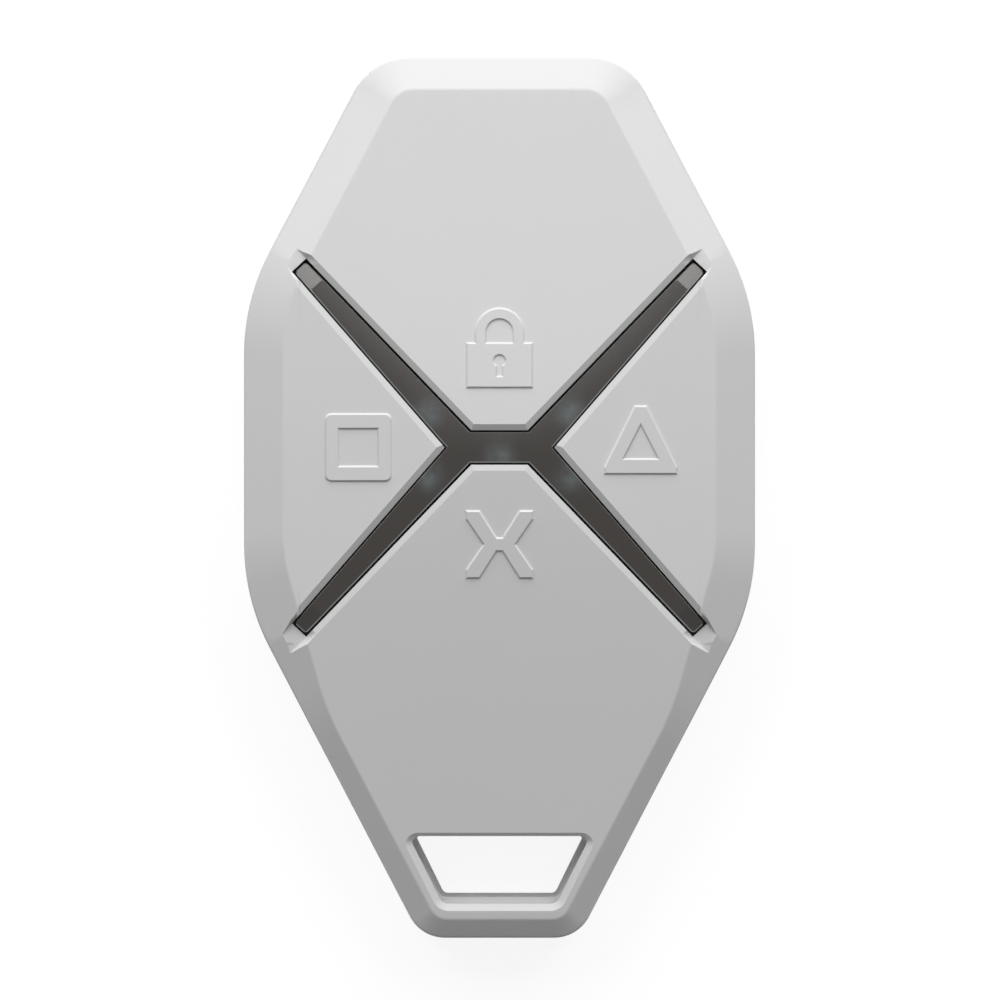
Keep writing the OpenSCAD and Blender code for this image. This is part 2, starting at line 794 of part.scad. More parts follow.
module front_cover() {
    color(shell_colour)
        difference() {
            union() {
                difference() {
                    front_form();
                    intersection() {
                        front_form(front_t);
                        prism(casing_plan(wall), 0, ridge_h);
                    }
                }
                intersection() {
                    front_form(front_t / 2);
                    union() {
                        for (spot = screw_spots)
                            translate([spot.x, spot.y, parting_h])
                                cylinder(r = screw_post_r, h = ridge_h);
                        prism(strap_hole_plan(sleeve_t), parting_h, ridge_h);
                    }
                }
            }
            for (spot = screw_spots)
                translate([spot.x, spot.y, parting_h - 1])
                    cylinder(r = screw_d / 2 + thread_gap, h = screw_tip_z + thread_gap - parting_h + 1);
            strap_hole_cut();
            about_cross() {
                prism(window_plan(), board_top, ridge_h + 1);
                each_arm()
                    trough();
                for (my = [0, 1])
                    mirror([0, my, 0])
                        hinge_groove([long_edge_end.x, long_hinge_at], [-long_edge_end.x, long_hinge_at],
                            function (p) long_z(p));
                for (mx = [0, 1])
                    mirror([mx, 0, 0])
                        hinge_groove([side_hinge_at, -side_edge_rise], [side_hinge_at, side_edge_rise],
                            function (p) side_z(p));
            }
        }
}

module rear_cover() {
    sunk_plan = casing_plan(rear_bevel);
    outer = casing_plan(0);
    lip_outer = wall + lip_gap;
    clip_space = contact_w / 2 + part_gap;
    pocket_r = cell_d / 2 + pocket_gap;
    color(shell_colour)
        difference() {
            union() {
                difference() {
                    skin([at_height(sunk_plan, 0), at_height(outer, rear_bevel), at_height(outer, parting_h)],
                        [0, 0, 0], [0, 0, parting_h]);
                    prism(casing_plan(lip_outer + lip_t), floor_t, ridge_h);
                }
                difference() {
                    prism(casing_plan(lip_outer), floor_t, board_z);
                    prism(casing_plan(lip_outer + lip_t), 0, ridge_h);
                    translate([-big / 2, strap_y, parting_h])
                        cube([big, sleeve_end_y + part_gap - strap_y, ridge_h]);
                    for (spot = screw_spots)
                        translate([spot.x, spot.y, parting_h])
                            cylinder(r = screw_post_r + part_gap, h = ridge_h);
                }
                difference() {
                    translate([0, cross_y, 0])
                        cylinder(r = pocket_r + pocket_t, h = floor_t + pocket_h);
                    translate([-clip_space, cross_y, floor_t])
                        cube([2 * clip_space, cell_d, ridge_h]);
                }
                for (spot = screw_spots)
                    translate([spot.x, spot.y, 0])
                        cylinder(r = rear_post_r, h = parting_h);
                prism(strap_hole_plan(sleeve_t), 0, parting_h);
            }
            translate([0, cross_y, floor_t])
                cylinder(r = pocket_r, h = ridge_h);
            for (spot = screw_spots)
                translate([spot.x, spot.y, 0]) {
                    translate([0, 0, -eps])
                        cylinder(r = screw_d / 2 + screw_gap, h = ridge_h);
                    translate([0, 0, -eps])
                        cylinder(r = screw_head_d / 2 + screw_gap, h = screw_seat_z + eps);
                }
            prism(strap_hole_plan(0), -eps, ridge_h);
        }
}

module cover_screws() {
    color(steel_colour)
        for (spot = screw_spots)
            translate([spot.x, spot.y, screw_sunk])
                difference() {
                    union() {
                        cylinder(r = screw_head_d / 2, h = screw_head_h);
                        cylinder(r = screw_d / 2, h = screw_head_h + screw_len);
                    }
                    for (turn = [0, 90])
                        rotate([0, 0, turn])
                            translate([-screw_d / 2, -recess_w / 2, -eps])
                                cube([screw_d, recess_w, screw_head_h / 2]);
                }
}

// Light guide

module light_guide() {
    plan = inset_all(slot_plan(), guide_gap);
    low = front_z(arm_end) - front_t - guide_drop;
    foot_len = guide_ramp_len;
    peg_z = board_top + lamp_h + part_gap;
    color(guide_colour)
        about_cross() {
            difference() {
                intersection() {
                    roof(guide_recess);
                    prism(plan, low, ridge_h);
                }
                each_arm()
                    translate([arm_end.x, arm_end.y, front_z(arm_end) - guide_recess])
                        rotate([0, 0, arm_angle])
                            rotate([0, atan(guide_ramp_d / guide_ramp_len), 0])
                                translate([-guide_ramp_len, -arm_end_w, -guide_ramp_d * 0.8])
                                    cube([guide_ramp_len * 2, arm_end_w * 2, guide_ramp_len]);
            }
            each_arm()
                translate([arm_end.x, arm_end.y, board_top])
                    rotate([0, 0, arm_angle])
                        translate([guide_foot_reach - foot_len, -guide_foot_w / 2, 0])
                            cube([foot_len, guide_foot_w, low + eps - board_top]);
            for (spot = lamp_spots())
                translate([spot.x, spot.y, peg_z])
                    cylinder(r = guide_peg_r, h = low + eps - peg_z);
        }
}

// Electronics

function lamp_spots() = [[0, 0], for (sx = [-1, 1], sy = [-1, 1]) [sx * lamp_x, sy * lamp_y]];

module circuit_board() {
    low_y = max(cross_y - board_reach, sleeve_end_y + part_gap);
    color(board_colour)
        difference() {
            intersection() {
                prism(casing_plan(wall + board_gap), board_z, board_top);
                translate([-big / 2, low_y, 0])
                    cube([big, cross_y + board_reach - low_y, ridge_h]);
            }
            for (spot = screw_spots)
                translate([spot.x, spot.y, 0])
                    cylinder(r = screw_post_r + part_gap, h = ridge_h);
        }
}

module switch_bases() {
    well_z = plunger_z - plunger_travel - plunger_gap;
    color(black_colour)
        each_switch()
            difference() {
                translate([-switch_w / 2, -switch_w / 2, board_top])
                    cube([switch_w, switch_w, frame_z - board_top]);
                translate([0, 0, well_z])
                    cylinder(r = plunger_r + flange_w + plunger_gap, h = ridge_h);
            }
}

module switch_frames() {
    color(steel_colour)
        each_switch()
            difference() {
                translate([-switch_w / 2, -switch_w / 2, frame_z])
                    cube([switch_w, switch_w, switch_frame_t]);
                translate([0, 0, frame_z - 1])
                    cylinder(r = plunger_r + plunger_gap, h = ridge_h);
            }
}

module plunger(spot) {
    color(black_colour)
        translate([spot.x, spot.y + cross_y, plunger_z]) {
            cylinder(r = plunger_r + flange_w, h = flange_h);
            cylinder(r = plunger_r, h = plunger_top - plunger_z);
        }
}

module top_plunger() {
    plunger([0, long_switch_at]);
}

module bottom_plunger() {
    plunger([0, -long_switch_at]);
}

module right_plunger() {
    plunger([side_switch_at, 0]);
}

module left_plunger() {
    plunger([-side_switch_at, 0]);
}

module status_leds() {
    color(lamp_colour)
        about_cross()
            for (spot = lamp_spots())
                translate([spot.x - lamp_len / 2, spot.y - lamp_w / 2, board_top])
                    cube([lamp_len, lamp_w, lamp_h]);
}

module radio_chip() {
    color(black_colour)
        translate([-radio_w / 2, cross_y + radio_at - radio_w / 2, board_top])
            cube([radio_w, radio_w, chip_h]);
}

module control_chip() {
    lead_w = lead_pitch / 2;
    lead_reach = 1;
    lead_t = chip_h / 4;
    row_w = (lead_count - 1) * lead_pitch;
    translate([0, cross_y - control_at, board_top]) {
        color(black_colour)
            translate([-control_w / 2, -control_d / 2, 0])
                cube([control_w, control_d, chip_h]);
        color(steel_colour)
            for (k = [0:lead_count - 1])
                translate([k * lead_pitch - row_w / 2 - lead_w / 2, -control_d / 2 - lead_reach, 0])
                    cube([lead_w, control_d + 2 * lead_reach, lead_t]);
    }
}

module crystal() {
    x = control_w / 2 + chip_part_len + 2 * part_gap;
    color(steel_colour)
        translate([-x - crystal_len, cross_y - control_at - crystal_w / 2, board_top])
            cube([crystal_len, crystal_w, chip_h]);
}

// Two rows of small chip components, one on each side of a chip of half width reach
module chip_part_rows(y, reach) {
    x = reach + part_gap;
    row = (chip_part_count - 1) * chip_part_pitch;
    for (side = [0, 1], k = [0:chip_part_count - 1])
        mirror([side, 0, 0])
            translate([x, cross_y + y + k * chip_part_pitch - row / 2 - chip_part_w / 2, board_top])
                cube([chip_part_len, chip_part_w, chip_part_w]);
}

module chip_capacitors() {
    color(ceramic_colour)
        chip_part_rows(radio_at, radio_w / 2);
}

module chip_resistors() {
    color(black_colour)
        chip_part_rows(-control_at, control_w / 2);
}

module antenna() {
    half = antenna_span / 2;
    color(brass_colour)
        translate([0, cross_y + antenna_at, board_top])
            linear_extrude(antenna_t)
                difference() {
                    translate([-half, -antenna_depth])
                        square([antenna_span, antenna_depth]);
                    translate([antenna_w - half, -antenna_depth - eps])
                        square([antenna_span - 2 * antenna_w, antenna_depth - antenna_w + eps]);
                }
}

// Coin cell and its contacts

// Solid of a profile given across the fob's length and height, carried across its width
module across_width(width) {
    translate([-width / 2, cross_y, 0])
        rotate([90, 0, 90])
            linear_extrude(width)
                children();
}

module battery_positive_clip() {
    y = cell_d / 2 + clip_gap;
    low = floor_t + cell_h / 4;
    color(brass_colour)
        across_width(contact_w) {
            translate([y, low])
                square([contact_t, board_z - low]);
            translate([y, board_z - contact_t])
                square([contact_w / 2, contact_t]);
        }
}

module battery_negative_contact() {
    pad = contact_w / 2;
    bend = contact_w / 4;
    color(brass_colour)
        across_width(contact_w)
            polygon([
                [pad + bend, board_z], [bend, board_z],
                [-bend, cell_top + contact_t], [-pad - bend, cell_top + contact_t],
                [-pad - bend, cell_top], [-bend, cell_top],
                [bend, board_z - contact_t], [pad + bend, board_z - contact_t],
            ]);
}

module cell_ring(r0, r1, z0, z1) {
    translate([0, cross_y, floor_t])
        rotate_extrude()
            translate([r0, z0])
                square([r1 - r0, z1 - z0]);
}

module coin_cell_can() {
    r = cell_d / 2;
    color(steel_colour) {
        cell_ring(0, r, 0, can_t);
        cell_ring(r - can_t, r, 0, cell_h - cap_step);
    }
}

module coin_cell_seal() {
    r = cell_d / 2 - can_t - cell_fit;
    color(seal_colour)
        cell_ring(r - seal_w, r, can_t, cell_h - cap_step);
}

module coin_cell_cap() {
    color(steel_colour)
        cell_ring(0, cell_d / 2 - can_t - seal_w - 2 * cell_fit, can_t, cell_h);
}

front_cover();
top_key();
left_key();
right_key();
bottom_key();
light_guide();
circuit_board();
switch_bases();
switch_frames();
top_plunger();
left_plunger();
right_plunger();
bottom_plunger();
status_leds();
radio_chip();
control_chip();
crystal();
chip_capacitors();
chip_resistors();
antenna();
battery_positive_clip();
battery_negative_contact();
coin_cell_can();
coin_cell_cap();
coin_cell_seal();
rear_cover();
cover_screws();
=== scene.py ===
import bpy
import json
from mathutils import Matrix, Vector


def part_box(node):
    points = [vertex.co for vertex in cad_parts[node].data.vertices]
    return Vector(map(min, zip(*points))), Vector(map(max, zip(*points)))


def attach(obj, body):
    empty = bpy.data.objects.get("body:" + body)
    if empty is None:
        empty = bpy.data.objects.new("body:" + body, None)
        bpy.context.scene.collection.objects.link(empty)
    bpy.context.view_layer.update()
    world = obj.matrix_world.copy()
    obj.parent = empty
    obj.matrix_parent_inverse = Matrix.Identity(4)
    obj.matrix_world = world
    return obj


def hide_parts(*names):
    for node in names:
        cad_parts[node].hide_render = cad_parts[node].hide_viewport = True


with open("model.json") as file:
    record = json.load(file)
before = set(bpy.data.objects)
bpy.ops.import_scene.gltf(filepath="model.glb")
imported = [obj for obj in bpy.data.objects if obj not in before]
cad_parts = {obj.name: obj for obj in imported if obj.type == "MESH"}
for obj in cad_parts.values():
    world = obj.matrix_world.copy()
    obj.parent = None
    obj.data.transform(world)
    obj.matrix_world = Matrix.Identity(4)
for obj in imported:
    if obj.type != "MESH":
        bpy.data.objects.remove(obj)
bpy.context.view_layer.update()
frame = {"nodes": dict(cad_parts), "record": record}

import json
import math

import bpy
import numpy as np
from mathutils import Vector
from mathutils.geometry import delaunay_2d_cdt

# Lengths below are millimetres in the fob's own frame, and become metres where a mesh is made.
mm = 0.001


# Lowest and highest corners of a CAD node
def boxOf(node):
    return [np.array(corner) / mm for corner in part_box(node)]


# Plan tools: every function takes and gives whole arrays of points

# Unit vectors: each row divided by its own length
def unit(v):
    return v / np.linalg.norm(v, axis=-1, keepdims=True)


# Each side of an anticlockwise polygon moves inwards by its depth; a corner is where moved sides cross
def insetSides(corners, depths):
    p = np.asarray(corners, float)
    side = unit(np.roll(p, -1, 0) - p)
    normal = np.stack([-side[:, 1], side[:, 0]], 1)
    reach = (normal * p).sum(1) + depths
    normalBefore, reachBefore = np.roll(normal, 1, 0), np.roll(reach, 1)
    det = normalBefore[:, 0] * normal[:, 1] - normalBefore[:, 1] * normal[:, 0]
    x = (reachBefore * normal[:, 1] - reach * normalBefore[:, 1]) / det
    y = (normalBefore[:, 0] * reach - normal[:, 0] * reachBefore) / det
    return np.stack([x, y], 1)


# Arc at each corner, tangent to both sides: its centre lies on the bisector, radius / sin(half angle) away
def cornerArcs(corners, radii):
    p = np.asarray(corners, float)
    r = np.broadcast_to(np.asarray(radii, float), len(p))
    u, v = unit(np.roll(p, 1, 0) - p), unit(np.roll(p, -1, 0) - p)
    half = np.arccos(np.clip((u * v).sum(1), -1, 1)) / 2
    centre = p + unit(u + v) * (r / np.sin(half))[:, None]
    first = p + u * (r / np.tan(half))[:, None]
    last = p + v * (r / np.tan(half))[:, None]
    turn = np.sign(u[:, 1] * v[:, 0] - u[:, 0] * v[:, 1])
    return centre, r, first, last, turn * (np.pi - 2 * half)


# Closed loop: every corner's arc in equal angles, then the straight run to the next arc in equal steps
def roundLoop(corners, radii, arcSteps=10, runSteps=14):
    centre, r, first, last, sweep = cornerArcs(corners, radii)
    start = np.arctan2(*(first - centre).T[::-1])
    angle = start[:, None] + sweep[:, None] * np.linspace(0, 1, arcSteps + 1)
    arcs = centre[:, None] + r[:, None, None] * np.stack([np.cos(angle), np.sin(angle)], -1)
    share = np.arange(1, runSteps)[:, None] / runSteps
    runs = last[:, None] + (np.roll(first, -1, 0) - last)[:, None] * share
    return np.concatenate([arcs, runs], 1).reshape(-1, 2)


# Signed distance to such a loop, positive outside, and the nearest point on it, from its runs and arcs
def loopGap(p, corners, radii):
    centre, r, first, last, sweep = cornerArcs(corners, radii)
    following = np.roll(first, -1, 0)
    gap, foot = np.full(len(p), -1e3), np.zeros_like(p)

    def keep(valid, distance, near):
        closer = valid & (np.abs(distance) < np.abs(gap))
        gap[closer], foot[closer] = distance[closer], near[closer]

    for i in range(len(centre)):
        length = np.linalg.norm(following[i] - last[i])
        along = (following[i] - last[i]) / length
        t = (p - last[i]) @ along
        keep((t >= 0) & (t <= length), (p - last[i]) @ [along[1], -along[0]], last[i] + t[:, None] * along)
        ray = p - centre[i]
        reach = np.maximum(np.linalg.norm(ray, axis=1), 1e-9)
        middle = unit(first[i] + last[i] - 2 * centre[i])
        inSector = ray @ middle >= reach * np.cos(sweep[i] / 2) - 1e-9
        keep(inSector, reach - r[i], centre[i] + ray / reach[:, None] * r[i])
    return gap, foot


# Centre plus radius times (cos, sin), in equal angles
def circle(centre, radius, steps=32):
    angle = np.arange(steps) * 2 * np.pi / steps
    return np.asarray(centre) + radius * np.stack([np.cos(angle), np.sin(angle)], 1)


# Points along a chain of corners, cut into steps no longer than spacing
def chain(corners, spacing):
    pieces = []
    for a, b in zip(corners[:-1], corners[1:]):
        steps = max(1, math.ceil(math.dist(a, b) / spacing))
        pieces.append(np.linspace(a, b, steps, endpoint=False))
    return np.concatenate(pieces + [np.array(corners[-1:], float)])


# Even-odd rule: a point is inside if a ray from it crosses the loops an odd number of times
def isInside(p, loops):
    crossings = np.zeros(len(p), int)
    for loop in loops:
        a, b = loop, np.roll(loop, -1, 0)
        straddles = (a[:, 1] > p[:, 1:]) != (b[:, 1] > p[:, 1:])
        rise = np.where(b[:, 1] == a[:, 1], 1, b[:, 1] - a[:, 1])
        crossX = a[:, 0] + (p[:, 1:] - a[:, 1]) * (b[:, 0] - a[:, 0]) / rise
        crossings += (straddles & (p[:, :1] < crossX)).sum(1)
    return crossings % 2 == 1


# Smallest distance from each point to any of the segments a to b
def segmentGap(p, a, b):
    run = b - a
    t = ((p[:, None] - a) * run).sum(-1) / np.maximum((run * run).sum(-1), 1e-12)
    near = a + np.clip(t, 0, 1)[..., None] * run
    return np.linalg.norm(p[:, None] - near, axis=-1).min(1)


# Loop with every point that lies on one of its sides put in between that side's ends
def joinPoints(loop, points):
    run = np.roll(loop, -1, 0) - loop
    t = ((points[:, None] - loop) * run).sum(-1) / (run * run).sum(-1)
    gap = np.linalg.norm(points[:, None] - loop - t[..., None] * run, axis=-1)
    which, side = np.nonzero((gap < 1e-5) & (t > 1e-6) & (t < 1 - 1e-6))
    order = np.concatenate([np.arange(len(loop)), side + t[which, side]])
    return np.concatenate([loop, points[which]])[np.argsort(order)]


# Triangles over a plan: constrained Delaunay on borders, marked lines and a loose grid clear of both
def fillPlan(borders, marks, spacing):
    chains = [(border, True) for border in borders] + marks
    starts = np.cumsum([0] + [len(points) for points, closed in chains])
    pairs = [
        np.stack([np.arange(n), np.roll(np.arange(n), -1)], 1)[: n if closed else n - 1] + start
        for (n, closed), start in zip([(len(points), closed) for points, closed in chains], starts)
    ]
    points, pairs = np.concatenate([points for points, closed in chains]), np.concatenate(pairs)
    low, high = borders[0].min(0), borders[0].max(0)
    grid = np.meshgrid(*[np.arange(low[k] + spacing / 2, high[k], spacing) for k in (0, 1)])
    loose = np.stack([axis.ravel() for axis in grid], 1)
    loose = loose[isInside(loose, borders)]
    clear = 0.4 * spacing
    loose = loose[segmentGap(loose, points[pairs[:, 0]], points[pairs[:, 1]]) > clear]
    given = np.concatenate([points, loose])
    found, _, faces, origins, _, _ = delaunay_2d_cdt(given.tolist(), pairs.tolist(), [], 0, 1e-6)
    xy = np.array([v[:] for v in found])
    source = np.array([origin[0] if origin else -1 for origin in origins])
    xy[source >= 0] = given[source[source >= 0]]
    faces = np.array(faces)
    a, b, c = xy[faces[:, 0]], xy[faces[:, 1]], xy[faces[:, 2]]
    area = (b[:, 0] - a[:, 0]) * (c[:, 1] - a[:, 1]) - (b[:, 1] - a[:, 1]) * (c[:, 0] - a[:, 0])
    faces[area < 0] = faces[area < 0][:, ::-1]
    faces = faces[(np.abs(area) > 1e-9) & isInside(xy[faces].mean(1), borders)]
    return xy, faces


# Patches: arrays of triangle corners and of their normals, joined into one mesh at the end

# Flat triangles: each normal is the cross product of two sides
def flatPatch(corners):
    normal = np.cross(corners[:, 1] - corners[:, 0], corners[:, 2] - corners[:, 0])
    length = np.maximum(np.linalg.norm(normal, axis=1, keepdims=True), 1e-12)
    return corners, np.repeat((normal / length)[:, None], 3, 1)


# Height z = f(x, y) over a plan; a corner's normal is (-df/dx, -df/dy, 1), read just inside its triangle
def heightPatch(plan, height, faceUp=True):
    xy, faces = plan
    corners = np.concatenate([xy, height(xy)[:, None]], 1)[faces]
    flat = xy[faces]
    inwards, step = 0.03, 2e-4
    near = (flat + inwards * (flat.mean(1, keepdims=True) - flat)).reshape(-1, 2)
    slope = [(height(near + d) - height(near - d)) / (2 * step) for d in np.eye(2) * step]
    normals = unit(np.stack([-slope[0], -slope[1], np.ones(len(near))], 1)).reshape(-1, 3, 3)
    return (corners, normals) if faceUp else (corners[:, ::-1], -normals[:, ::-1])


# Flat-shaded steps: each triangle keeps its region's level, with upright walls, cut at the given heights,
# where neighbours differ
def terracePatch(plan, level, faceUp=True, cuts=()):
    xy, faces = plan
    z = level(xy[faces], xy[faces].mean(1))
    tops = np.concatenate([xy[faces], z[..., None]], -1)
    a, b = faces.ravel(), np.roll(faces, -1, 1).ravel()
    za, zb = z.ravel(), np.roll(z, -1, 1).ravel()
    key = np.minimum(a, b) * len(xy) + np.maximum(a, b)
    order = np.argsort(key, kind="stable")
    twin = np.flatnonzero(key[order][1:] == key[order][:-1])
    one, two = order[twin], order[twin + 1]
    differs = (np.abs(za[one] - zb[two]) > 1e-6) | (np.abs(zb[one] - za[two]) > 1e-6)
    one, two = one[differs], two[differs]
    start, end = xy[a[one]], xy[b[one]]
    quad = np.stack([np.column_stack([start, za[one]]), np.column_stack([start, zb[two]]),
                     np.column_stack([end, za[two]]), np.column_stack([end, zb[one]])], 1)
    cuts = [-1e3, *cuts, 1e3]
    quad = np.concatenate([np.concatenate([quad[..., :2], np.clip(quad[..., 2:], low, high)], -1)
                           for low, high in zip(cuts[:-1], cuts[1:])])
    walls = np.concatenate([quad[:, [0, 1, 2]], quad[:, [0, 2, 3]]])
    corners = np.concatenate([tops, walls])
    return flatPatch(corners if faceUp else corners[:, ::-1])


# Strip between rings of equal count, each an array of points; flat, or with a normal given for every point
def stripPatch(rings, normals=None):
    grid = np.stack(rings)
    here, there = grid, np.roll(grid, -1, 1)
    quads = [here[:-1], there[:-1], there[1:], here[1:]]
    corners = np.concatenate([np.stack([quads[i] for i in tri], 2) for tri in ((0, 1, 2), (0, 2, 3))])
    corners = corners.reshape(-1, 3, 3)
    if normals is None:
        return flatPatch(corners)
    return corners, stripPatch(normals)[0]


# Plan points lifted to one height or to a height each
def ringAt(xy, z):
    return np.column_stack([xy, np.broadcast_to(z, len(xy))])


# Outward direction of a closed anticlockwise loop at each point: the mean of its two sides' normals
def loopOutward(xy):
    side = unit(np.roll(xy, -1, 0) - xy)
    normal = np.stack([side[:, 1], -side[:, 0]], 1)
    return unit(normal + np.roll(normal, 1, 0))


# Normals leaning by shares of the outward direction and of straight up
def tilted(outward, across, up):
    across, up = np.broadcast_to(across, len(outward)), np.broadcast_to(up, len(outward))
    return unit(np.column_stack([outward * across[:, None], up]))


# Rounded edge: rings on the curve a (1 - u)^2 + 2 b u (1 - u) + c u^2, with normals square to it
def roundedEdge(a, b, c, outward, steps):
    rings, normals = [], []
    for u in np.linspace(0, 1, steps):
        rings.append(a * (1 - u) ** 2 + b * 2 * u * (1 - u) + c * u ** 2)
        lean = (1 - u) * (b - a) + u * (c - b)
        normals.append(tilted(outward, -lean[:, 2], np.linalg.norm(lean[:, :2], axis=1)))
    return rings, normals


# One closed mesh: corners in the same cell of a fine grid share a vertex, and normals stay with their faces
def makePiece(name, patches, node, body, material):
    corners = np.concatenate([patch[0] for patch in patches])
    normals = np.concatenate([patch[1] for patch in patches])
    cellsPerMm = 5e3
    cells = np.round(corners.reshape(-1, 3) * cellsPerMm).astype(np.int64)
    _, first, index = np.unique(cells, axis=0, return_index=True, return_inverse=True)
    index = index.reshape(-1, 3)
    real = (index != np.roll(index, 1, 1)).all(1)
    index, normals = index[real], normals[real]
    used, index = np.unique(index, return_inverse=True)
    index = index.reshape(-1, 3)
    points = corners.reshape(-1, 3)[first][used]
    mesh = bpy.data.meshes.new(name)
    mesh.vertices.add(len(points))
    mesh.vertices.foreach_set("co", (points * mm).ravel())
    mesh.loops.add(index.size)
    mesh.loops.foreach_set("vertex_index", index.ravel())
    mesh.polygons.add(len(index))
    mesh.polygons.foreach_set("loop_start", np.arange(len(index)) * 3)
    mesh.polygons.foreach_set("use_smooth", np.ones(len(index), bool))
    mesh.update(calc_edges=True)
    mesh.normals_split_custom_set(normals.reshape(-1, 3).tolist())
    edges = np.sort(np.stack([index, np.roll(index, -1, 1)], -1).reshape(-1, 2), 1)
    shared = np.unique(edges, axis=0, return_counts=True)[1]
    print(name, len(index), "triangles,", (shared != 2).sum(), "edges not shared by two")
    piece = bpy.data.objects.new(name, mesh)
    bpy.context.collection.objects.link(piece)
    mesh.materials.append(material)
    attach(piece, body)
    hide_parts(node)
    return piece


# Materials

# sRGB hex to linear light: value / 12.92 near black, ((value + 0.055) / 1.055)^2.4 above
def toLinear(hexColour):
    value = np.array([int(hexColour[i:i + 2], 16) / 255 for i in (0, 2, 4)])
    linear = np.where(value <= 0.04045, value / 12.92, ((value + 0.055) / 1.055) ** 2.4)
    return (*linear.tolist(), 1.0)


# Adds a node, sets its properties and sockets, and links what is given as another node's output
def addNode(tree, kind, links=None, inputs=None, **settings):
    node = tree.nodes.new(kind)
    for key, value in settings.items():
        setattr(node, key, value)
    for key, value in (inputs or {}).items():
        node.inputs[key].default_value = value
    for key, output in (links or {}).items():
        tree.links.new(output, node.inputs[key])
    return node


# Empty material, its node tree and the piece's own coordinates
def newMaterial(name):
    material = bpy.data.materials.new(name)
    material.use_nodes = True
    tree = material.node_tree
    tree.nodes.clear()
    place = addNode(tree, "ShaderNodeTexCoord")
    return material, tree, place.outputs["Object"]


# Body colour that wanders between two near tones, roughness that wanders with it, and a fine bump
def finish(name, look):
    material, tree, place = newMaterial(name)
    patches = addNode(tree, "ShaderNodeTexNoise", {"Vector": place}, {"Scale": 1 / (look["patch"] * mm)})
    colours = dict(zip("AB", map(toLinear, look["colours"])))
    tone = addNode(tree, "ShaderNodeMix", {"Factor": patches.outputs["Fac"]}, colours, data_type="RGBA")
    rough = addNode(tree, "ShaderNodeMapRange", {"Value": patches.outputs["Fac"]},
                    {"To Min": look["roughness"][0], "To Max": look["roughness"][1]})
    grain = addNode(tree, "ShaderNodeTexNoise", {"Vector": place},
                    {"Scale": 1 / (look["grain"] * mm), "Detail": 3.0})
    bump = addNode(tree, "ShaderNodeBump", {"Height": grain.outputs["Fac"]},
                   {"Strength": look["bump"], "Distance": look["depth"] * mm})
    shader = addNode(tree, "ShaderNodeBsdfPrincipled",
                     {"Base Color": tone.outputs["Result"], "Roughness": rough.outputs["Result"],
                      "Normal": bump.outputs["Normal"]},
                     {"Metallic": look.get("metallic", 0.0),
                      "Specular IOR Level": look.get("specular", 0.5)})
    addNode(tree, "ShaderNodeOutputMaterial", {"Surface": shader.outputs["BSDF"]})
    return material


# ABS, moulded in a spark-eroded tool: an even pale grey, matt, with a grain just felt by a fingertip.
# The real grain is finer than a pixel, so it is drawn as coarse as it needs to show.
absLook = {"colours": ("d1d1d1", "d3d3d3"), "patch": 9.0, "roughness": (0.52, 0.60),
           "grain": 0.16, "bump": 0.12, "depth": 0.01, "specular": 0.2}
mouldedAbs = finish("mouldedAbs", absLook)

print("plan tools and casing plastic ready")


# Casing: outline, section and the heights of the front

coverLow, coverHigh = boxOf("front_cover")

# slopes are degrees
casing = {
    "length": coverHigh[1] - coverLow[1],
    "width": coverHigh[0] - coverLow[0],
    "parting": coverLow[2],
    "farEnd": 18.84, "strapEnd": 11.6, "farTaper": 18.0, "strapTaper": 25.05,
    "farRadius": 4.8, "sideRadius": 16.3, "strapRadius": 2.9,
    "farBevel": 2.55, "farSlantBevel": 2.96, "sideBevel": 3.0, "strapSlantBevel": 1.7, "strapBevel": 1.5,
    "farCrease": 1.85, "farSideCrease": 13.0, "strapCrease": 1.35,
    "shoulderUp": 5.3, "shoulderDown": 6.9, "shoulderSideCrease": 13.0, "shoulderSlantCrease": 22.0,
    "ridge": 11.0, "ridgeHalf": 2.37, "ridgeSlope": 4.0, "longSlope": 7.8, "bend": 8.5,
    "sideSlope": 5.42, "bow": 380.0, "bevelSlope": 32.0,
    "creaseSoft": 0.1, "edgeRound": 0.14, "wallDraft": 0.1, "partingRound": 0.15, "wall": 1.6, "panel": 1.4,
    "faceStep": 1.7, "insideStep": 2.5,
}
crossFromFarEnd = 28.85
crossY = casing["length"] / 2 - crossFromFarEnd


# Both halves of a shape that is the same left and right, from its right half's corners
def mirrored(right):
    right = np.asarray(right, float)
    return np.concatenate([right, right[::-1] * [-1, 1]])


# One value for each corner of such a shape, from its right half's values
def bothSides(values):
    return np.array(list(values) + list(values)[::-1])


sideX, farY = casing["width"] / 2, casing["length"] / 2
casingCorners = mirrored([
    [casing["strapEnd"] / 2, -farY], [sideX, casing["strapTaper"] - farY],
    [sideX, farY - casing["farTaper"]], [casing["farEnd"] / 2, farY],
])
casingRadii = bothSides([casing[k] for k in ("strapRadius", "sideRadius", "sideRadius", "farRadius")])
bevelWidths = np.array([casing[k] for k in (
    "strapSlantBevel", "sideBevel", "farSlantBevel", "farBevel",
    "farSlantBevel", "sideBevel", "strapSlantBevel", "strapBevel")])


# Right half of the crease: the casing's sides moved inwards, the strap side's corner cut to a shoulder
def creaseHalf():
    strapEnd, strapSide, farSide, farEnd = insetSides(casingCorners, bevelWidths)[:4]
    lower = strapSide + unit(strapEnd - strapSide) * casing["shoulderDown"]
    upper = strapSide + unit(farSide - strapSide) * casing["shoulderUp"]
    return [strapEnd, lower, upper, farSide, farEnd]


creaseCorners = mirrored(creaseHalf())
creaseRadii = bothSides([casing[k] for k in (
    "strapCrease", "shoulderSlantCrease", "shoulderSideCrease", "farSideCrease", "farCrease")])


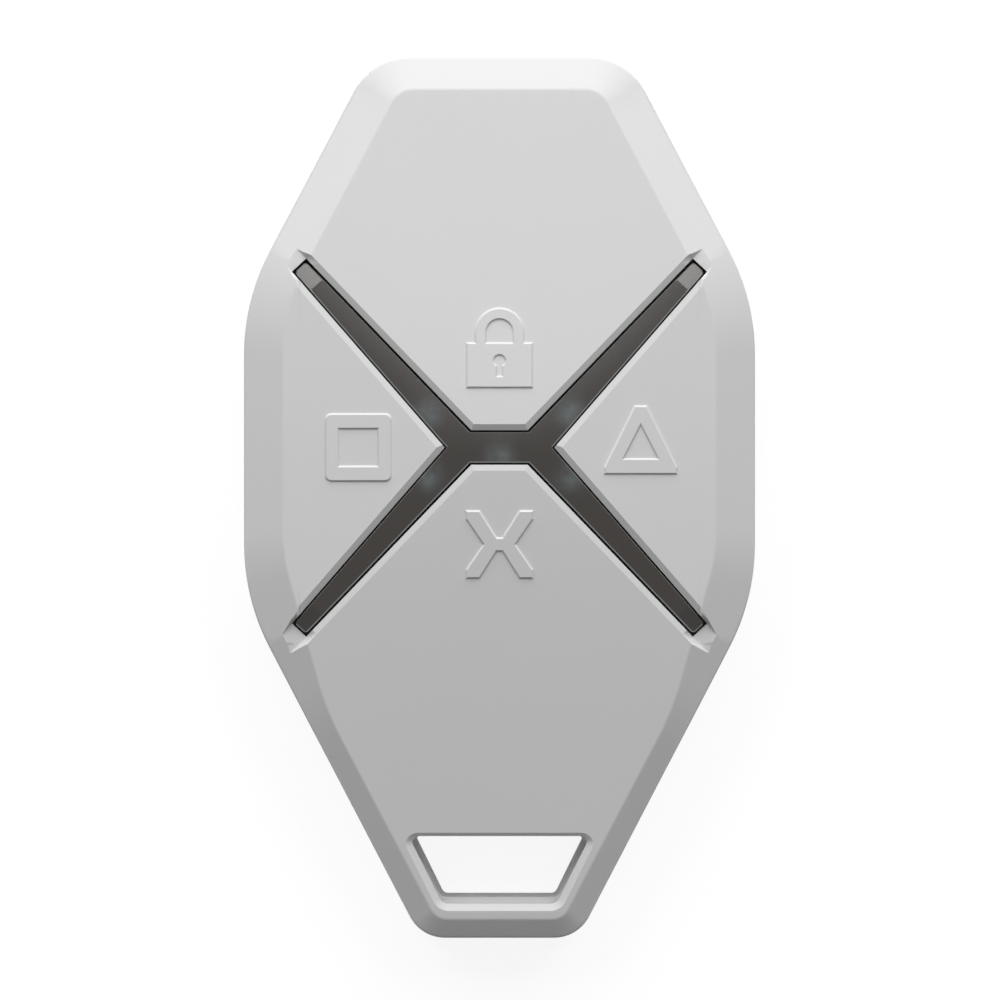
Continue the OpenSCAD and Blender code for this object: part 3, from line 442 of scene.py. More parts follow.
# Casing's outline moved inwards, its corners' radii less by as much and never under half
def casingLoop(depth):
    radii = np.maximum(casingRadii - depth, casingRadii / 2)
    return roundLoop(insetSides(casingCorners, np.full(8, depth)), radii)


# Far and strap facets: slope goes from the ridge's value to the long one as 1 - exp(-distance / bend)
def longFacet(y):
    start, last = [math.tan(math.radians(casing[k])) for k in ("ridgeSlope", "longSlope")]
    away, bend = np.abs(y), casing["bend"]
    return casing["ridge"] - last * away + (last - start) * bend * (1 - np.exp(-away / bend))


# Side facets: bowed along the fob, falling sideways at their own slope from the ridge's ends
def sideFacet(x, y):
    lean = math.radians(casing["sideSlope"])
    sag = casing["bow"] - np.sqrt(casing["bow"] ** 2 - y ** 2)
    return casing["ridge"] - sag / math.cos(lean) - (np.abs(x) - casing["ridgeHalf"]) * math.tan(lean)


# Four facets: the lowest of them at each point
def roof(p):
    return np.minimum(longFacet(p[:, 1] - crossY), sideFacet(p[:, 0], p[:, 1] - crossY))


# Lower of two heights, with the edge between them rounded where they differ by less than soft
def softMin(a, b, soft):
    return np.minimum(a, b) - np.maximum(soft - np.abs(a - b), 0) ** 2 / (4 * soft)


# Front of the casing: the roof, or the bevel that falls away from the crease, whichever is lower
def casingFront(p):
    gap, foot = loopGap(p, creaseCorners, creaseRadii)
    steep = math.tan(math.radians(casing["bevelSlope"]))
    return softMin(roof(p), roof(foot) - gap * steep, casing["creaseSoft"] * steep)


# X slot: its edges in the quarter where x and y' are positive, y' measured from the middle of the X

slot = {
    "barHeight": 2.52, "barLength": 4.12, "tipDistance": 8.0,
    "sideEnd": (15.2, 12.88), "longEnd": (14.16, 13.85),
    "chamferWidth": 0.44, "deepChamfer": 0.26, "shallowChamfer": 0.12,
    "farChannel": 0.57, "strapChannel": 0.85, "channelLead": 0.75, "farFall": 0.2, "strapFall": 0.08,
    "hingeSetback": 0.57, "hingeSkin": 0.35, "hingeRelief": 0.8, "hingeGap": 0.001, "hingeSwing": 0.06,
    "cornerStep": 0.3, "floorStep": 0.4, "browStep": 0.5, "barStep": 0.8, "edgeStep": 1.2,
    "grooveStep": 1.5,
}
longStart = np.array([slot["barLength"], slot["barHeight"]]) / 2
sideStart = np.array([slot["tipDistance"] / 2, 0.0])
longEnd, sideEnd = np.array(slot["longEnd"]), np.array(slot["sideEnd"])
longRun, sideRun = unit(longEnd - longStart), unit(sideEnd - sideStart)
longAway, sideAway = np.array([-longRun[1], longRun[0]]), np.array([sideRun[1], -sideRun[0]])
armEnd = (longEnd + sideEnd) / 2
armRun = unit(armEnd - (longStart + sideStart) / 2)
armEndHeight = roof(np.array([[armEnd[0], armEnd[1] + crossY]]))[0]
longHinge, sideHinge = longEnd[1] - slot["hingeSetback"], sideEnd[0] - slot["hingeSetback"]


# Chamfer depth of a slot edge: deeper on edges that face the strap end than on those that face the far end
def edgeDepth(isLong, side):
    facing = np.asarray(side) * (1 if isLong else -1)
    return np.where(facing > 0, slot["deepChamfer"], slot["shallowChamfer"])


# Point on an arm's edge line, moved away from the slot, where it meets a hinge line
def onLongHinge(away):
    base = longStart + longAway * away
    return base + longRun * (longHinge - base[1]) / longRun[1]


def onSideHinge(away):
    base = sideStart + sideAway * away
    return base + sideRun * (sideHinge - base[0]) / sideRun[0]


# Hinge lines, from one slot edge to the other, with the chamfers' ends among their points
def hingePoints(edge, brow, axis, steps=20):
    ends = np.array([edge, (edge + brow) / 2])
    reach = np.concatenate([ends, np.linspace(brow, -brow, steps), -ends[::-1]])
    fixed = np.full(len(reach), longHinge if axis == 0 else sideHinge)
    return np.stack([reach, fixed] if axis == 0 else [fixed, -reach], 1)


longHingeLine = hingePoints(onLongHinge(0)[0], onLongHinge(slot["chamferWidth"])[0], 0)
sideHingeLine = hingePoints(onSideHinge(0)[1], onSideHinge(slot["chamferWidth"])[1], 1)


# From the quarter's frame to the casing's: mirrored by sx and sy about the middle of the X
def placed(p, sx=1, sy=1):
    p = np.asarray(p, float)
    return np.stack([p[..., 0] * sx, p[..., 1] * sy + crossY], -1)


# Back to the quarter's frame: distances from the middle of the X
def quarter(p):
    return np.stack([np.abs(p[:, 0]), np.abs(p[:, 1] - crossY)], 1)


# Front cover

strapHole = {"inset": 2.62, "length": 5.03, "nearWidth": 8.4, "farWidth": 13.35,
             "nearRadius": 0.8, "farRadius": 0.45, "frontDraft": 0.06, "rearDraft": 0.3,
             "frontNearDraft": 0.38, "rearNearDraft": 0.52, "brow": 2.3,
             "chamferSlope": 0.5, "chamferWidth": 0.5, "chamferLean": 0.25, "sleeve": 1.2}
holeY = strapHole["inset"] - farY
holeCorners = np.array([
    [strapHole["nearWidth"] / 2, holeY], [strapHole["farWidth"] / 2, holeY + strapHole["length"]],
    [-strapHole["farWidth"] / 2, holeY + strapHole["length"]], [-strapHole["nearWidth"] / 2, holeY],
])
holeRadii = np.array([strapHole[k] for k in ("nearRadius", "farRadius", "farRadius", "nearRadius")])


# Loop of the hole grown outwards, with the wall nearest the strap end drawn in further
def holeLoop(grow, nearDraft=0.0):
    depths = np.array([0, 0, 0, nearDraft]) - grow
    return roundLoop(insetSides(holeCorners, depths), np.maximum(holeRadii + grow, 0.1), 10, 8)


# Foot of the front cover's hole wall, where the rear cover's begins
def holeStep():
    draft = strapHole["frontDraft"]
    return holeLoop(-draft, strapHole["frontNearDraft"] - draft)


# Strap hole's chamfer: narrower where it faces the strap end, by lean times the outward direction's y
def holeChamfer(outwardY):
    return strapHole["chamferWidth"] - strapHole["chamferLean"] * np.maximum(outwardY, 0)


# Channel at an arm's end: the chamfer deepens towards the end, and past it a flat floor falls away
def channel(p):
    q = quarter(p)
    longGap, sideGap = (q - longStart) @ longAway, (q - sideStart) @ sideAway
    past = (q - armEnd) @ armRun
    lead = np.clip(1 + past / slot["channelLead"], 0, 1)
    side = p[:, 1] - crossY
    edge = np.where(longGap > sideGap, edgeDepth(True, side), edgeDepth(False, side))
    deepest = np.where(side > 0, slot["farChannel"], slot["strapChannel"])
    fall = np.where(side > 0, slot["farFall"], slot["strapFall"])
    depth = edge + (deepest - edge) * lead ** 2 * (3 - 2 * lead)
    level = np.where(longGap > sideGap, longFacet(q[:, 1]), sideFacet(q[:, 0], q[:, 1]))
    level = np.minimum(level, armEndHeight - fall * past)
    return level - depth * (1 - np.maximum(np.maximum(longGap, sideGap), 0) / slot["chamferWidth"])


# Front less the four channels and the strap hole's chamfer
def coverTop(p):
    front = casingFront(p)
    hole, foot = loopGap(p, holeCorners, holeRadii)
    outwardY = (p - foot)[:, 1] / np.where(np.abs(hole) < 1e-9, 1.0, hole)
    brim = front + strapHole["chamferSlope"] * (np.maximum(hole, 0) - holeChamfer(outwardY))
    return np.minimum(np.minimum(front, channel(p)), np.where(hole > -1, brim, front))


# Where a line leaves the channel: bisection for the distance at which the front drops below it
def daylight(base, run, below, sy):
    low, high = np.full(len(base), below), np.full(len(base), 2.5)
    for _ in range(40):
        middle = (low + high) / 2
        p = placed(base + run * middle[:, None], 1, sy)
        inside = casingFront(p) > channel(p)
        low, high = np.where(inside, middle, low), np.where(inside, high, middle)
    return base + run * low[:, None]


# Lines of one channel: brows from hinge to crease, floor edges, and the curve where it runs out
def channelMarks(sy):
    count, inner, rest = 9, 0.985, 0.015  # the run-out starts just inside the brow
    share = np.linspace(1, 0, count)[:, None]
    across = np.linspace(0, 1, count)[:, None]
    wide = slot["chamferWidth"]
    longBase = longEnd + longAway * wide * share * inner
    sideBase = sideEnd + sideAway * wide * share[::-1] * inner
    longBand = daylight(longBase, np.tile(longRun, (count, 1)), -1.0, sy)
    sideBand = daylight(sideBase, np.tile(sideRun, (count, 1)), -1.0, sy)
    padRun = unit(longRun + (sideRun - longRun) * across)
    pad = daylight(longEnd + (sideEnd - longEnd) * across, padRun, 0.0, sy)
    outer = np.concatenate([longBand[:-1], pad, sideBand[1:]])
    longBrow = chain([onLongHinge(wide), longBand[0] + longAway * wide * rest], slot["browStep"])
    sideBrow = chain([sideBand[-1] + sideAway * wide * rest, onSideHinge(wide)], slot["browStep"])
    rim = np.concatenate([longBrow, outer, sideBrow])
    return [rim, *[chain(ends, slot["floorStep"]) for ends in ([longEnd, pad[0]], [sideEnd, pad[-1]])]]


# Opening for the keys and the X, anticlockwise: hinge lines joined round the arms' ends
def windowLoop():
    corner = chain([onSideHinge(0), sideEnd, longEnd, onLongHinge(0)], slot["cornerStep"])[1:-1]
    return np.concatenate([
        placed(sideHingeLine), placed(corner), placed(longHingeLine), placed(corner[::-1], -1, 1),
        placed(sideHingeLine[::-1], -1, 1), placed(corner, -1, -1), placed(longHingeLine[::-1], 1, -1),
        placed(corner[::-1], 1, -1),
    ])


coverScrews = {"far": 5.5, "strap": 13.0, "span": 14.0, "pilot": 1.02, "boss": 1.97, "tip": 6.52}
screwX, screwY = coverScrews["span"] / 2, coverScrews["strap"] - farY
screwSpots = np.array([[0, farY - coverScrews["far"]], [screwX, screwY], [-screwX, screwY]])


# Inside of the cover: the rim, sleeve and bosses stand on the parting line, and the panel is even elsewhere
def coverBottom(corners, centres):
    flat = corners.reshape(-1, 2)
    inner = casingFront(flat) - casing["panel"]
    q = quarter(flat)
    onHinge = (np.abs(q[:, 1] - longHinge) < 1e-5) & (q[:, 0] < longEnd[0])
    onHinge |= (np.abs(q[:, 0] - sideHinge) < 1e-5) & (q[:, 1] < sideEnd[1])
    inner = np.where(onHinge, inner + casing["panel"] - slot["hingeSkin"], inner).reshape(-1, 3)
    rim = ~isInside(centres, [casingLoop(casing["wall"])])
    rim |= isInside(centres, [holeLoop(strapHole["sleeve"])])
    bossGap = np.linalg.norm(centres[:, None] - screwSpots, axis=-1).min(1)
    z = np.where((rim | (bossGap < coverScrews["boss"]))[:, None], casing["parting"], inner)
    return np.where((bossGap < coverScrews["pilot"])[:, None], coverScrews["tip"], z)


# Face, inside, outer wall, and the walls of the window and the strap hole
def frontCover():
    window, hole = windowLoop(), holeLoop(0)
    draft = casing["wallDraft"]
    outline, brow = casingLoop(0), casingLoop(draft)
    rimTop, rimLow = casingLoop(draft + casing["edgeRound"]), casingLoop(casing["partingRound"])
    soft = casing["creaseSoft"]
    marks = [(roundLoop(insetSides(creaseCorners, np.full(len(creaseCorners), d)), creaseRadii - d), True)
             for d in (-soft, 0, soft)]
    holeOut = loopOutward(hole)
    marks += [(hole + holeOut * holeChamfer(holeOut[:, 1:]), True)]
    marks += [(placed(line, sx, sy), False)
              for sy in (1, -1) for line in channelMarks(sy) for sx in (1, -1)]
    plan = fillPlan([rimTop, window, hole], marks, casing["faceStep"])
    top = heightPatch(plan, coverTop)
    window = joinPoints(window, plan[0])
    inner = [(casingLoop(casing["wall"]), True), (holeLoop(strapHole["sleeve"]), True)]
    inner += [(circle(spot, coverScrews[k], 24), True) for spot in screwSpots for k in ("boss", "pilot")]
    holeFoot = holeStep()
    inside = fillPlan([rimLow, window, holeFoot], inner, casing["insideStep"])
    bottom = terracePatch(inside, coverBottom, faceUp=False)
    # outer wall: from the rounded upper edge down to the rounded parting edge
    outward = loopOutward(outline)
    upper, over = ringAt(rimTop, coverTop(rimTop)), ringAt(brow, casingFront(brow))
    rings, normals = roundedEdge(upper, over, over - [0, 0, 2 * casing["edgeRound"]], outward, 5)
    for u in np.linspace(0, 1, 4):
        turn = u * np.pi / 2
        edge = outline + (rimLow - outline) * (1 - math.cos(turn))
        rings.append(ringAt(edge, casing["parting"] + casing["partingRound"] * (1 - math.sin(turn))))
        normals.append(tilted(outward, math.cos(turn), -math.sin(turn)))
    wall = stripPatch(rings[::-1], normals[::-1])
    # walls of the window and of the strap hole
    windowFoot = coverBottom(np.repeat(window[:, None], 3, 1), window * 0.999 + [0, 0.001 * crossY])[:, 0]
    plainFoot = casingFront(window) - casing["panel"]
    windowFoot = np.where(windowFoot == casing["parting"], plainFoot, windowFoot)
    windowWall = stripPatch([ringAt(window, coverTop(window)), ringAt(window, windowFoot)])
    # the strap hole's wall stands upright below its chamfer, then leans in to the foot
    high = ringAt(hole, coverTop(hole))
    middle, low = high - [0, 0, strapHole["brow"]], ringAt(holeFoot, casing["parting"])
    upright = tilted(-holeOut, 1.0, 0.0)
    leaning = tilted(-holeOut, middle[:, 2] - casing["parting"], np.linalg.norm(hole - holeFoot, axis=1))
    holeWalls = [stripPatch([high, middle], [upright] * 2), stripPatch([middle, low], [leaning] * 2)]
    return [top, bottom, wall, windowWall, *holeWalls]


makePiece("frontCoverShell", frontCover(), "front_cover", "casing", mouldedAbs)
print("front cover made")


# Rear cover

rear = {"bevel": 1.5, "edge": 0.12, "floor": 1.1, "lipGap": 0.1, "lip": 0.8, "lipTop": 4.9, "lipEnd": -23.5,
        "lipClear": 2.27, "pocketRadius": 10.15, "pocketWall": 0.8, "pocketHeight": 2.0, "clipHalf": 2.8,
        "post": 2.9, "bore": 1.95, "seat": 1.5, "through": 1.15}
lipLoops = [casingLoop(casing["wall"] + rear["lipGap"] + thick) for thick in (0, rear["lip"])]


# Inside of the rear cover: floor, cell pocket, rim, sleeve and posts to the parting line, lip above it
def rearInside(corners, centres):
    postGap = np.linalg.norm(centres[:, None] - screwSpots, axis=-1).min(1)
    fromCell = np.linalg.norm(centres - [0, crossY], axis=1)
    inGap = (np.abs(centres[:, 0]) < rear["clipHalf"]) & (centres[:, 1] > crossY)
    pastCell = fromCell - rear["pocketRadius"]
    onRing = (pastCell > 0) & (pastCell < rear["pocketWall"]) & ~inGap
    pastGap, pastLip = (isInside(centres, [loop]) for loop in lipLoops)
    onLip = pastGap & ~pastLip & (centres[:, 1] > rear["lipEnd"]) & (postGap > rear["lipClear"])
    stands = ~pastGap | (postGap < rear["post"]) | isInside(centres, [holeLoop(strapHole["sleeve"])])
    z = np.where(onRing, rear["floor"] + rear["pocketHeight"], rear["floor"])
    z = np.where(onLip, rear["lipTop"], np.where(stands, casing["parting"], z))
    return np.repeat(z[:, None], 3, 1)


# Outer wall, back, inside, the strap hole's wall and the screws' stepped bores
def rearCover():
    parting, soft, edge, bevel = casing["parting"], casing["partingRound"], rear["edge"], rear["bevel"]
    # outer wall: inset, height, and the normal's shares outwards and upwards, from the parting line down
    section = [(soft * (1 - math.sin(t)), parting - soft * (1 - math.cos(t)), math.sin(t), math.cos(t))
               for t in np.linspace(0, np.pi / 2, 4)]
    ease = 0.7 * edge
    section += [(0, bevel + edge, 1, 0), (ease, bevel - ease, 1, -1),
                (bevel - ease, ease, 1, -1), (bevel + edge, 0, 0, -1)]
    outward = loopOutward(casingLoop(0))
    rings = [ringAt(casingLoop(inset), z) for inset, z, across, up in section]
    normals = [tilted(outward, across, up) for inset, z, across, up in section]
    wall = stripPatch(rings[::-1], normals[::-1])
    holeTop = holeStep()
    draft = strapHole["rearDraft"]
    lean = strapHole["rearNearDraft"] - draft
    holeLow, holeMouth = holeLoop(-draft, lean), holeLoop(2 * edge - draft, lean)
    inwards = tilted(-loopOutward(holeLow), 1, 0)
    holeWall = stripPatch([ringAt(holeTop, parting), ringAt(holeLow, 2 * edge), ringAt(holeMouth, 0)],
                          [inwards, inwards, tilted(-loopOutward(holeLow), 1, -1)])
    steps = [(rear["through"], parting), (rear["through"], rear["seat"]), (rear["bore"], rear["seat"]),
             (rear["bore"], edge), (rear["bore"] + edge, 0)]
    bores = [stripPatch([ringAt(circle(spot, r), z) for r, z in steps]) for spot in screwSpots]
    mouths = [circle(spot, rear["bore"] + edge) for spot in screwSpots]
    back = heightPatch(fillPlan([casingLoop(bevel + edge), holeMouth, *mouths], [], casing["insideStep"]),
                       lambda p: np.zeros(len(p)), faceUp=False)
    marks = [(loop, True) for loop in lipLoops + [holeLoop(strapHole["sleeve"])]]
    marks += [(circle(spot, rear[k]), True) for spot in screwSpots for k in ("post", "lipClear")]
    cell = [rear["pocketRadius"], rear["pocketRadius"] + rear["pocketWall"]]
    marks += [(circle([0, crossY], r, 72), True) for r in cell]
    marks += [(np.array([[x, crossY + cell[0] - 1], [x, crossY + cell[1] + 1]]), False)
              for x in (rear["clipHalf"], -rear["clipHalf"])]
    lipEndX = strapHole["farWidth"] / 2 + casing["wall"]
    marks += [(np.array([[-lipEndX, rear["lipEnd"]], [lipEndX, rear["lipEnd"]]]), False)]
    openings = [circle(spot, rear["through"]) for spot in screwSpots]
    plan = fillPlan([casingLoop(soft), holeTop, *openings], marks, casing["insideStep"])
    inside = terracePatch(plan, rearInside, cuts=[rear["floor"] + rear["pocketHeight"], parting])
    return [wall, holeWall, back, inside, *bores]


makePiece("rearCoverShell", rearCover(), "rear_cover", "casing", mouldedAbs)
print("rear cover made")


# Keys

keyLook = {"signHeight": 0.13, "signDraft": 0.14, "farSignAt": 7.28, "strapSignAt": 7.09,
           "sideSignAt": 10.32, "longSwitchAt": 7.0, "sideSwitchAt": 9.5, "postRadius": 0.8,
           "postFoot": 7.63, "faceStep": 1.1, "insideStep": 2.0}
signSizes = {"squareWidth": 4.8, "squareHeight": 4.9, "squareRound": 0.42,
             "windowWidth": 2.88, "windowHeight": 2.76,
             "triangleWidth": 5.28, "triangleHeight": 4.94, "triangleFoot": 1.92, "peakWidth": 0.86,
             "footCut": 0.47, "hollowWidth": 2.58, "hollowHeight": 2.52, "hollowFoot": 0.84,
             "crossWidth": 4.84, "crossHeight": 4.9, "crossInner": 1.47, "crossCut": 0.6, "waist": 1.15,
             "notch": (0.22, 0.48),
             "padlockWidth": 4.8, "padlockHeight": 5.8, "padlockBody": 3.248, "shackleRadius": 1.776,
             "shackleInner": 0.992, "keyholeRadius": 0.441, "keyholeUp": 1.9488, "keyholeFoot": 0.812}


# Signs: outer and inner loops, all anticlockwise, about the sign's own middle

def boxCorners(width, height):
    return np.array([[-1, -1], [1, -1], [1, 1], [-1, 1]]) * [width / 2, height / 2]


def squareSign():
    outer = boxCorners(signSizes["squareWidth"], signSizes["squareHeight"])
    window = boxCorners(signSizes["windowWidth"], signSizes["windowHeight"])
    return [roundLoop(outer, signSizes["squareRound"], 4, 1)], [window]


def triangleSign():
    half, peak, hollow = [signSizes[k] / 2 for k in ("triangleWidth", "peakWidth", "hollowWidth")]
    low, floor = -signSizes["triangleFoot"], -signSizes["hollowFoot"]
    cut, top = low + signSizes["footCut"], low + signSizes["triangleHeight"]
    outer = mirrored([[half, low], [half, cut], [peak, top]])
    return [outer], [np.array([[-hollow, floor], [hollow, floor], [0, floor + signSizes["hollowHeight"]]])]


def crossSign():
    w, h = signSizes["crossWidth"] / 2, signSizes["crossHeight"] / 2
    arm = np.array([[signSizes["waist"], 0], [w, h - signSizes["crossCut"]], [w, h],
                    [signSizes["crossInner"], h], signSizes["notch"]])
    upper = np.concatenate([arm, (arm * [-1, 1])[:0:-1]])
    return [np.concatenate([upper, -upper])], []


# Padlock: body and shackle in one loop, with the shackle's opening and a keyhole left out
def padlockSign():
    w, h = signSizes["padlockWidth"] / 2, signSizes["padlockHeight"] / 2
    outerR, innerR, keyR = [signSizes[k] for k in ("shackleRadius", "shackleInner", "keyholeRadius")]
    brow, keyY, footY = [signSizes[k] - h for k in ("padlockBody", "keyholeUp", "keyholeFoot")]
    springY = h - outerR
    bend = np.linspace(0, np.pi, 17)
    arc = np.stack([np.cos(bend), np.sin(bend)], 1)
    outer = np.concatenate([[[-w, -h], [w, -h], [w, brow], [outerR, brow]], arc * outerR + [0, springY],
                            [[-outerR, brow], [-w, brow]]])
    gap = np.concatenate([[[-innerR, brow], [innerR, brow]], arc * innerR + [0, springY]])
    turn = np.linspace(-np.pi / 3, 4 * np.pi / 3, 15)
    head = np.stack([np.cos(turn), np.sin(turn)], 1) * keyR + [0, keyY]
    stem = [[-keyR / 2, footY], [keyR / 2, footY]]
    return [outer], [gap, np.concatenate([stem, head])]


# A key's plan in the quarter's frame: hinge, then slot edges, with the groove's ends among their points
def longKeyPlan():
    groove = onLongHinge(0) - longRun * slot["hingeRelief"] / longRun[1]
    edge = np.concatenate([chain([onLongHinge(0), groove], slot["browStep"])[1:-1],
                           chain([groove, longStart], slot["edgeStep"])])
    bar = chain([longStart * [-1, 1], longStart], slot["barStep"])[1:-1]
    outline = np.concatenate([longHingeLine, edge * [-1, 1], bar, edge[::-1]])
    wide = slot["chamferWidth"]
    elbow = longStart + longAway * wide
    elbow = elbow + longRun * (longStart[1] + wide - elbow[1]) / longRun[1]
    half = chain([onLongHinge(wide), elbow], slot["edgeStep"])
    across = chain([elbow, elbow * [-1, 1]], slot["barStep"])[1:-1]
    brow = np.concatenate([half, across, half[::-1] * [-1, 1]])
    mitres = [np.array([longStart, elbow]), np.array([longStart, elbow]) * [-1, 1]]
    grooveLine = chain([groove, groove * [-1, 1]], slot["grooveStep"])
    return outline, [brow, *mitres], grooveLine


def sideKeyPlan():
    groove = onSideHinge(0) - sideRun * slot["hingeRelief"] / sideRun[0]
    wide = slot["chamferWidth"]
    # the mitre leaves the shallow edge where the deeper chamfer is as low
    share = 1 - slot["shallowChamfer"] / slot["deepChamfer"]
    mitre = sideStart + sideRun * wide * share / (2 * np.prod(sideRun))
    edge = np.concatenate([chain([onSideHinge(0), groove], slot["browStep"])[1:-1],
                           chain([groove, mitre, sideStart], slot["edgeStep"])])
    outline = np.concatenate([sideHingeLine, edge, edge[-2::-1] * [1, -1]])
    tip = sideStart + [wide / sideAway[0], 0]
    half = chain([onSideHinge(wide), tip], slot["edgeStep"])
    brow = np.concatenate([half, half[-2::-1] * [1, -1]])
    grooveLine = chain([groove, groove * [1, -1]], slot["grooveStep"])
    return outline, [brow, np.array([mitre, tip])], grooveLine


# Key faces: the facet, cut along the slot by the chamfer's plane
def longKeyTop(p):
    q = quarter(p)
    away = np.minimum((q - longStart) @ longAway, q[:, 1] - longStart[1])
    depth = edgeDepth(True, p[:, 1] - crossY)
    return longFacet(q[:, 1]) + depth * np.minimum(0, away / slot["chamferWidth"] - 1)


def sideKeyTop(p):
    q = quarter(p)
    cut = np.zeros(len(p))
    for side in (1, -1):
        turned = np.stack([q[:, 0], (p[:, 1] - crossY) * side], 1)
        away = (turned - sideStart) @ sideAway
        cut = np.minimum(cut, edgeDepth(False, side) * (away / slot["chamferWidth"] - 1))
    return sideFacet(q[:, 0], q[:, 1]) + cut


pivotHeight = {joint["child"]: joint["pos_m"][2] / mm
               for joint in frame["record"]["behaviour"]["joints"] if joint["type"] == "hinge"}


# Points of a key's hinge line drawn back from the cover: a hairline, and more as they lie below the pivot
def drawBack(points, height, isLong, pivot):
    q = quarter(points)
    onHinge = np.abs(q[:, 1] - longHinge if isLong else q[:, 0] - sideHinge) < 1e-6
    distance = slot["hingeGap"] + slot["hingeSwing"] * np.maximum(pivot - height, 0)
    away = np.sign(points - [0, crossY]) * ([0, 1] if isLong else [1, 0])
    return points - away * (onHinge * distance)[:, None]


# Key: chamfered face with its raised sign, thinned to a skin at the hinge, and a post over the switch
def makeKey(name, node, sx, sy, isLong, sign):
    outline, marks, grooveLine = longKeyPlan() if isLong else sideKeyPlan()
    faceHeight = longKeyTop if isLong else sideKeyTop
    longAt = keyLook["farSignAt" if sy > 0 else "strapSignAt"]
    signAt = placed([0, longAt] if isLong else [keyLook["sideSignAt"], 0], sx, sy)
    outers, inners = sign()
    draft = keyLook["signDraft"] / 2
    loops = [loop + signAt for loop in outers + inners]
    drafts = [draft] * len(outers) + [-draft] * len(inners)
    foot, crown = [[insetSides(loop, np.full(len(loop), d * turn)) for loop, d in zip(loops, drafts)]
                   for turn in (-1, 1)]
    pivot = pivotHeight[node]
    rim, *brows = [placed(line, sx, sy) for line in [outline] + list(marks)]
    border = drawBack(rim, faceHeight(rim), isLong, pivot)
    lines = [(drawBack(brow, faceHeight(brow), isLong, pivot), False) for brow in brows]
    plan = fillPlan([border], lines + [(loop, True) for loop in foot + crown], keyLook["faceStep"])
    corners, normals = heightPatch(plan, faceHeight)
    raised = isInside(corners[..., :2].reshape(-1, 2), loops).reshape(-1, 3)
    corners[..., 2] += keyLook["signHeight"] * raised
    onFlank = raised.any(1) & ~raised.all(1)
    normals[onFlank] = flatPatch(corners[onFlank])[1]

    postAt = placed([0, keyLook["longSwitchAt"]] if isLong else [keyLook["sideSwitchAt"], 0], sx, sy)

    def underside(corners, centres):
        flat = corners.reshape(-1, 2)
        q = quarter(flat)
        facet = longFacet(q[:, 1]) if isLong else sideFacet(q[:, 0], q[:, 1])
        fromHinge = (longHinge - q[:, 1]) if isLong else (sideHinge - q[:, 0])
        share = np.clip(fromHinge / slot["hingeRelief"], 0, 1)
        thick = slot["hingeSkin"] + (casing["panel"] - slot["hingeSkin"]) * share
        onPost = np.linalg.norm(centres - postAt, axis=1) < keyLook["postRadius"]
        return np.where(onPost[:, None], keyLook["postFoot"], (facet - thick).reshape(-1, 3))

    def soleHeight(ring):
        farOff = np.full_like(ring, 1e3)  # clear of the post
        return underside(np.repeat(ring[:, None], 3, 1), farOff)[:, 0]

    heel = drawBack(rim, soleHeight(rim), isLong, pivot)
    under = [(placed(grooveLine, sx, sy), False), (circle(postAt, keyLook["postRadius"], 24), True)]
    bottom = terracePatch(fillPlan([heel], under, keyLook["insideStep"]), underside, faceUp=False)
    turn = -1 if sx * sy < 0 else 1
    wall = stripPatch([ringAt(heel, soleHeight(heel))[::turn], ringAt(border, faceHeight(border))[::turn]])
    return makePiece(name, [(corners, normals), bottom, wall], node, node, mouldedAbs)


makeKey("topKeyPad", "top_key", 1, 1, True, padlockSign)
makeKey("bottomKeyPad", "bottom_key", 1, -1, True, crossSign)
makeKey("rightKeyPad", "right_key", 1, 1, False, triangleSign)
makeKey("leftKeyPad", "left_key", -1, 1, False, squareSign)
print("keys made")


# Light guide

# pool and edgeGlow shape the painted light pools and the painted edge line
guide = {"longGap": 0.16, "sideGap": 0.11, "barGap": 0.13, "endGap": 0.14, "recess": 0.2,
         "rampLength": 1.95, "rampDepth": 0.45, "endRound": 0.28, "elbowRound": 0.06,
         "edgeRound": 0.08, "edgeMargin": 0.03, "edgeDrop": 0.02, "smooth": 0.35, "ridgeRound": 1.5,
         "creaseHalf": 0.45, "foot": 7.74, "faceStep": 0.4, "footStep": 1.5, "pool": 0.9, "edgeGlow": 1.6}
# places where pools of the lamps' light are painted on the guide's colour, from the middle of the X
poolSpots = np.array([[0, -0.72], [5.2, 2.45], [-5.2, 2.45], [5.15, -2.15], [-5.15, -2.15]])

quarterSlot = [sideStart, sideEnd, longEnd, longStart]
slotCorners = np.array(quarterSlot + [p * [-1, 1] for p in quarterSlot[:0:-1]] + [-p for p in quarterSlot]
                       + [p * [1, -1] for p in quarterSlot[:0:-1]])
quarterGaps = ["sideGap", "endGap", "longGap", "barGap", "longGap", "endGap", "sideGap"]
guideGaps = np.array([guide[k] for k in quarterGaps * 2])


# Slot's outline moved inwards by each side's gap and a depth, arms' ends rounder than the elbows
def guideLoop(depth):
    armHalf = np.linalg.norm(longEnd - sideEnd) / 2
    ends = np.linalg.norm(np.abs(slotCorners) - armEnd, axis=1) < 2 * armHalf
    radii = np.where(ends, guide["endRound"], guide["elbowRound"])
    corners = insetSides(slotCorners, guideGaps + depth)
    u, v = np.roll(corners, 1, 0) - corners, np.roll(corners, -1, 0) - corners
    convex = u[:, 1] * v[:, 0] - u[:, 0] * v[:, 1] > 0
    return placed(roundLoop(corners, np.where(convex, radii - depth, radii + depth), 4, 24))


# Face of the guide: roof less recess, smoothed over its hips and, by sqrt(y^2 + round^2), its ridge
def guideTop(p):
    q = quarter(p)
    eased = np.hypot(q[:, 1], guide["ridgeRound"]) - guide["ridgeRound"]
    face = softMin(longFacet(eased), sideFacet(q[:, 0], q[:, 1]), guide["smooth"]) - guide["recess"]
    past = (q - armEnd) @ armRun + guide["rampLength"]
    return face - guide["rampDepth"] * np.maximum(past, 0) / guide["rampLength"]


